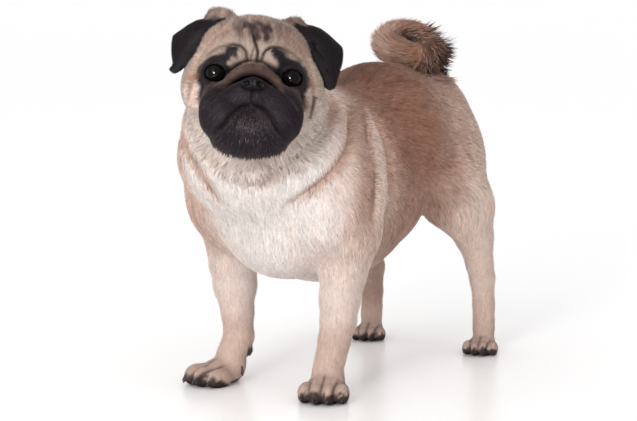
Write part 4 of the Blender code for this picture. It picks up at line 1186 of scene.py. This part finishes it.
# its middle and tip stand off the skin by about the coat's depth, and further where the hair is loose
deep = np.where(onHead | onEars, form["coatDepthHead"], form["coatDepthBody"])
deep[onPaws] *= tufts["pawRaise"]
raised = deep * random.uniform(*tufts["raise"], len(roots))
middlePoints = roots + lie * (0.5 * long)[:, None]
tipPoints = roots + lie * long[:, None]
tipAway = inParts(skin, tipPoints)
middleMost, tipMost = tufts["middleBend"] * long, tufts["tipBend"] * long
middleOff = np.clip(tufts["middleRaise"] * raised - inParts(skin, middlePoints), -middleMost, middleMost)
tipOff = np.clip(raised - tipAway, -tipMost, tipMost)
local = inHead(roots)
loose = onTail | (onHead & (local[:, 2] > 0.038))
stray = random.random(len(roots)) < np.where(loose, tufts["looseStray"], tufts["stray"])
stray |= onHead & (local[:, 2] < -0.056) & (random.random(len(roots)) < tufts["jawStray"])
stray &= ~(onPaws | onEars)
tipOff[stray] = np.maximum(tipOff[stray], (random.uniform(*tufts["strayTips"], len(roots)) * long)[stray])
fuzzy = np.maximum(fade(local[:, 2], -0.055, -0.066), fade(local[:, 2], 0.044, 0.052)) * onHead
fuzzy = np.maximum(fuzzy, tufts["tailFuzz"] * onTail) * long
tipOff = np.maximum(tipOff, random.uniform(*tufts["fuzzyTips"], len(roots)) * fuzzy)
middlePoints += normals * middleOff[:, None]
tipPoints += normals * tipOff[:, None]

# a spindle: root, ring of 3, tip
half = 0.5 * tufts["narrow"] * long * np.where(onTail, tufts["tailNarrow"], 1.0)
thick = np.minimum(0.35 * half * 2, tufts["mostThick"])
ring = [middlePoints + normals * thick[:, None], middlePoints + across * half[:, None],
        middlePoints - across * half[:, None]]
tuftVerts = np.stack([roots - normals * tufts["rootDepth"]] + ring + [tipPoints], 1)
tuftVerts[..., 2] = np.maximum(tuftVerts[..., 2], form["floorAt"] + form["hairGap"])
tuftNormals = unit(np.stack([normals, normals, normals + 0.35 * across, normals - 0.35 * across, normals], 1))
tuftFaces = np.array([(2, 1, 0), (3, 2, 0), (1, 3, 0), (1, 2, 4), (2, 3, 4), (3, 1, 4)])
tuftPatch = np.array([(0, -1), (0, 0), (1, 0), (-1, 0), (0, 1)]) * tufts["bakePatch"]
rootPlace = bakePlace(roots, normals, region)

# shades: streaks, less on the legs and on pale hair, a spread from tuft to tuft, and hairs of other colours
tuftShades = {
    "streakOn": (0.45, 0.3, 1.0),  # share of the streaks on the legs, the paws and elsewhere
    "spreadOn": (2.0, 2.4, 1.1),  # share of the spread on the head, the tail and elsewhere
    "darkest": 0.3,  # least share of its own shade that a tuft keeps
    "greyHairs": 0.45,  # most of them, in the middle of the chin
    "greyAt": ((0, -0.046), (0.014, 0.009)),  # in the head's X and Z: middle, half sizes
    "maskBelow": 0.12,  # sum of the colour's three parts, below which hair is the mask's
    "maskPale": (0.0080, 0.0055, 0.0064),  # mean light added to it
    "paleTail": 0.38,  # share of pale hairs there
    # painted shade: each tuft darker at its root, where the hair over it shades it
    "root": 0.8,
    "trunkTip": 0.93,
}
tuftColour = coatColour(roots)
even = np.select([region == "legs", onPaws], tuftShades["streakOn"][:2], tuftShades["streakOn"][2])
even = even * (1 - 0.5 * fade(tuftColour.sum(1), 1.5, 2.0))
spread = tufts["shade"] * np.select([onHead, onTail], tuftShades["spreadOn"][:2], tuftShades["spreadOn"][2])
shade = 1 + spread * random.normal(0, 1, len(roots)) + tufts["streak"] * even * streak
tuftColour *= np.maximum(shade, tuftShades["darkest"])[:, None]
greyShare = tuftShades["greyHairs"] * spot(local[:, [0, 2]], *tuftShades["greyAt"]) * (local[:, 1] < -0.05)
grey = random.random(len(roots)) < greyShare
onMask = onHead & (tuftColour.sum(1) < tuftShades["maskBelow"])
paleness = random.exponential(1.0, len(roots)) * np.clip(1 + 7 * streak, 0.1, 3)
paleness *= 1 - 0.5 * fade(local[:, 0], 0.012, 0.030)
tuftColour[onMask] += paleness[onMask, None] * tuftShades["maskPale"]
pale = onTail & (random.random(len(roots)) < tuftShades["paleTail"])
tuftColour[pale] = 0.40 * tuftColour[pale] + 0.45 * coatShades["tan"]
tuftColour[grey] = 0.35 * tuftColour[grey] + 0.65 * coatShades["grey"]
tipShade = np.where(region == "trunk", tuftShades["trunkTip"], 1.0)[:, None]


def addTufts(name, chosen):
    # the chosen tufts joined in one mesh, with their shades and their patches on the unwrap
    faces = (np.arange(len(chosen))[:, None, None] * 5 + tuftFaces[None]).reshape(-1, 3)
    thing = addMesh(name, tuftVerts[chosen].reshape(-1, 3), faces, 3)
    shades = np.repeat(tuftColour[chosen][:, None, :], 5, 1)
    # painted shade at each tuft's root
    shades[:, 0] *= tuftShades["root"]
    shades[:, 4] *= tipShade[chosen]
    paint(thing, shades.reshape(-1, 3))
    places = (rootPlace[chosen][:, None, :] + tuftPatch[None]).reshape(-1, 2)
    layer = thing.data.uv_layers.new(name="OFBake")
    layer.data.foreach_set("uv", places[faces.ravel()].astype(np.float32).ravel())
    thing.data.normals_split_custom_set_from_vertices(tuftNormals[chosen].reshape(-1, 3).tolist())
    thing.data.materials.append(tuftFur)
    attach(thing, "root")


for word in ("head", "ears", "trunk", "legs", "paws", "tail"):
    chosen = np.flatnonzero((region == word) & ~(onEars & (tipAway > 0.0011)))
    chosen = chosen[np.argsort(roots[chosen, 1], kind="stable")]
    runs = np.array_split(chosen, max(1, -(-len(chosen) // tufts["most"])))
    for i, run in enumerate(runs):
        name = "coat_" + word + ("_" + str(i + 1) if len(runs) > 1 else "")
        addTufts(name, run)
    print("coat", word, len(chosen), "tufts in", len(runs))

def closedRings(count, around):
    # faces of rings of points, closed at both ends: point 0, then the rings, then the last point
    at = 1 + np.arange(count * around).reshape(count, around)
    nextAt = np.roll(at, -1, 1)
    last = 1 + count * around
    return np.vstack([np.stack([0 * at[0], at[0], nextAt[0]], 1),
                      np.stack([at[:-1], at[1:], nextAt[1:]], -1).reshape(-1, 3),
                      np.stack([at[:-1], nextAt[1:], nextAt[:-1]], -1).reshape(-1, 3),
                      np.stack([last + 0 * at[-1], nextAt[-1], at[-1]], 1)])


print("eyes")
eye = {
    "gaze": (10.0, 2.0),  # degrees outward and upward
    "irisReach": 62.0,  # degrees from the middle of the cornea
    "pupilReach": 30.0,
    "corneaRise": 0.0005,
    "corneaEdge": (46, 20),  # degrees where it starts to rise and where it is full
    "inside": 0.0004,  # how much smaller than the socket
    "rays": 37,
    "iris": "#120b0a",
    "irisRim": "#080606",
    "pupil": "#050405",
    "white": "#2c2324",
    "net": (48, 64),  # steps from pole to pole, and round
}
# A wet eye: clear, so the coat gives the highlight, over a dark iris.
eyeGloss, tree, shader = newMaterial("eye, wet and clear", {
    "Roughness": 0.40, "Specular IOR Level": 0.0,
    "Coat Weight": 0.35, "Coat Roughness": 0.03, "Coat IOR": 1.38})
iris = addNode(tree, "Attribute", {"attribute_name": "pelt"})
tree.links.new(iris.outputs["Color"], shader.inputs["Base Color"])
for side, word in ((1, "left"), (-1, "right")):
    # rings of points round the line of sight, from the cornea's middle to the back, closed at both poles
    up, around = eye["net"]
    rise = np.pi * np.arange(1, up) / up
    turn = 2 * np.pi * np.arange(around) / around
    r, t = np.meshgrid(rise, turn, indexing="ij")
    points = np.stack([np.sin(r) * np.cos(t), -np.cos(r), np.sin(r) * np.sin(t)], -1).reshape(-1, 3)
    points = np.vstack([[(0, -1, 0)], points, [(0, 1, 0)]])
    away = np.degrees(np.arccos(np.clip(-points[:, 1], -1, 1)))
    reach = form["eyeRadius"] - eye["inside"] + eye["corneaRise"] * fade(away, *eye["corneaEdge"])
    turnOut = turnAbout("Z", side * eye["gaze"][0]) @ turnAbout("X", -eye["gaze"][1])
    verts = (points * reach[:, None]) @ turnOut.T @ headTurn.T + eyeCentres[side]
    eyeball = addMesh("eyeball_" + word, verts, closedRings(up - 1, around), 3)
    rays = 0.5 + 0.5 * np.sin(np.arctan2(points[:, 2], points[:, 0]) * eye["rays"])
    shade = linear(eye["iris"]) * (0.8 + 0.4 * rays[:, None])
    for part, none, full in (("irisRim", eye["irisReach"] - 14, eye["irisReach"] - 4),
                             ("white", eye["irisReach"], eye["irisReach"] + 6),
                             ("pupil", eye["pupilReach"] + 2, eye["pupilReach"] - 1)):
        share = fade(away, none, full)[:, None]
        shade = shade * (1 - share) + linear(eye[part]) * share
    paint(eyeball, shade)
    eyeball.data.materials.append(eyeGloss)
    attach(eyeball, "root")
    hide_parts("eye_" + word)

print("claws")
clawSizes = {
    "length": 0.0105,
    "radius": 0.0023,
    "places": [0.0, 0.18, 0.36, 0.54, 0.70, 0.84, 0.94, 1.0],  # of its rings, as shares of the length
    "wide": [1.0, 0.98, 0.92, 0.82, 0.68, 0.50, 0.32, 0.14],  # and their shares of the radius
    "droop": 0.22,  # of the tip, as a share of the length
    "flat": 0.75,  # width over height
    "around": 12,
    "dewAt": (-0.0120, -0.002, 0.0120),  # from the foot's place, on the inner side
    "dewAlong": (-0.62, -0.30, -0.72),
    "dewSize": (0.0026, 0.0125),  # radius, length
    "dark": "#17110f",
    "light": "#2a201d",
}
# Claw horn: hard, dark, dull from walking, with a faint grain of about 2 mm.
horn, tree, shader = newMaterial("claw horn", {"Roughness": 0.5, "Specular IOR Level": 0.3})
place = addNode(tree, "TexCoord")
grain = addNode(tree, "TexNoise", {"Scale": 500.0, "Detail": 2.0}, {"Vector": place.outputs["Object"]})
mix = addNode(tree, "Mix", {"data_type": "RGBA"}, {"Factor": grain.outputs["Fac"]})
mix.inputs[6].default_value = (*linear(clawSizes["dark"]), 1)
mix.inputs[7].default_value = (*linear(clawSizes["light"]), 1)
tree.links.new(mix.outputs[2], shader.inputs["Base Color"])


def clawShape(root, along, radius, length):
    # a curved, tapered claw: rings of points along a drooping line, closed at both ends
    root = np.array(root)
    along = unit(along)
    side = unit(np.cross(along, (0, 0, 1)))
    lift = np.cross(side, along)
    share = np.array(clawSizes["places"])[:, None, None]
    wide = np.array(clawSizes["wide"])[:, None, None] * radius
    around = clawSizes["around"]
    t = (np.arange(around) * 2 * np.pi / around)[None, :, None]
    rings = root + along * length * share - lift * length * clawSizes["droop"] * share ** 2
    rings = rings + wide * (side * np.cos(t) * clawSizes["flat"] + lift * np.sin(t))
    tip = root + along * length - lift * length * clawSizes["droop"]
    return np.vstack([[root], rings.reshape(-1, 3), [tip]]), closedRings(len(share), around)[:, ::-1]


clawVerts, clawFaces, used = [], [], 0
for leg in ("fore", "hind"):
    for side in (1, -1):
        at, heading, size = feet[leg, side]
        turn = turnAbout("Z", heading)
        ground = np.array([at[0], at[1], form["floorAt"]])
        radius, length = clawSizes["radius"] * size, clawSizes["length"] * size
        wantedClaws = [(turn @ (np.array([x * 1.04, y - 0.0085, z + 0.0015]) * size) + ground,
                        turn @ np.array([x * 4, -0.9, -0.42]), radius, length) for x, y, z in paws["toes"]]
        if leg == "fore":
            dewAt = np.array(clawSizes["dewAt"]) * (side, 1, 1) + (at[0], at[1], 0)
            wantedClaws.append((dewAt, np.array(clawSizes["dewAlong"]) * (side, 1, 1), *clawSizes["dewSize"]))
        for claw in wantedClaws:
            verts, faces = clawShape(*claw)
            verts[:, 2] = np.maximum(verts[:, 2], form["floorAt"] + form["hairGap"])
            clawVerts.append(verts)
            clawFaces.append(faces + used)
            used += len(verts)
claws = addMesh("claws", np.vstack(clawVerts), np.vstack(clawFaces), 3)
claws.data.materials.append(horn)
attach(claws, "root")

print("stage")
stageSizes = {
    "floorHalf": 40.0,
    "floorColour": "#f6f5f5",
    "sky": "#ffffff",
    "skyStrength": 1.0,
    "lampsAimAt": (0, 0, 0.18),
}
floorCorners = np.array([(-1, -1, 0), (1, -1, 0), (1, 1, 0), (-1, 1, 0)]) * stageSizes["floorHalf"]
floor = addMesh("floor", floorCorners - toModel, np.array([[0, 1, 2, 3]]), 4)
# White painted board: half smooth, so it mirrors the paws faintly.
board, tree, shader = newMaterial("white painted board", {
    "Base Color": (*linear(stageSizes["floorColour"]), 1), "Roughness": 0.28, "Specular IOR Level": 0.35})
floor.data.materials.append(board)
world = bpy.data.worlds.new("studio")
world.use_nodes = True
sky = world.node_tree.nodes["Background"]
sky.inputs["Color"].default_value = (*linear(stageSizes["sky"]), 1)
sky.inputs["Strength"].default_value = stageSizes["skyStrength"]
bpy.context.scene.world = world
lamps = {  # kind, place, strength (W/m2 for a sun, W for a lamp), size (degrees for a sun, metres for a lamp)
    "key": ("SUN", (0.10, -1.60, 1.25), 0.50, 34.0),
    "front": ("AREA", (0.45, -2.05, 0.75), 16.0, 0.5),
    "catch": ("AREA", (0.72, -1.98, 0.56), 70.0, 0.42),
}


def aim(thing, at, target):
    # turns the thing's -Z from its place to the target, with +Y kept up
    back = unit(np.array(at) - np.array(target))
    right = unit(np.cross((0, 0, 1), back))
    up = np.cross(back, right)
    matrix = np.eye(4)
    matrix[:3, 0], matrix[:3, 1], matrix[:3, 2], matrix[:3, 3] = right, up, back, at
    thing.matrix_world = Matrix(matrix)


for name, (kind, at, strength, size) in lamps.items():
    light = bpy.data.lights.new(name, kind)
    light.energy = strength
    if kind == "SUN":
        light.angle = np.radians(size)
    else:
        light.size = size
    lamp = bpy.data.objects.new(name, light)
    lamp.visible_diffuse = name != "catch"  # only mirrored in the eyes and the nose
    bpy.context.scene.collection.objects.link(lamp)
    aim(lamp, at, stageSizes["lampsAimAt"])

view = {
    "at": (1.188, -1.7454, 0.451),
    "heading": (-0.5637, 0.8259),
    "down": 7.6,  # degrees
    "lens": 119.2,  # millimetres, on a sensor of the next width
    "sensor": 36.0,
}
camera = bpy.data.objects.new("camera", bpy.data.cameras.new("camera"))
camera.data.lens = view["lens"]
camera.data.sensor_width = view["sensor"]
bpy.context.scene.collection.objects.link(camera)
drop = np.tan(np.radians(view["down"]))
aim(camera, view["at"], np.array(view["at"]) + (*view["heading"], -drop))
bpy.context.scene.camera = camera
bpy.context.scene.view_settings.view_transform = "Standard"
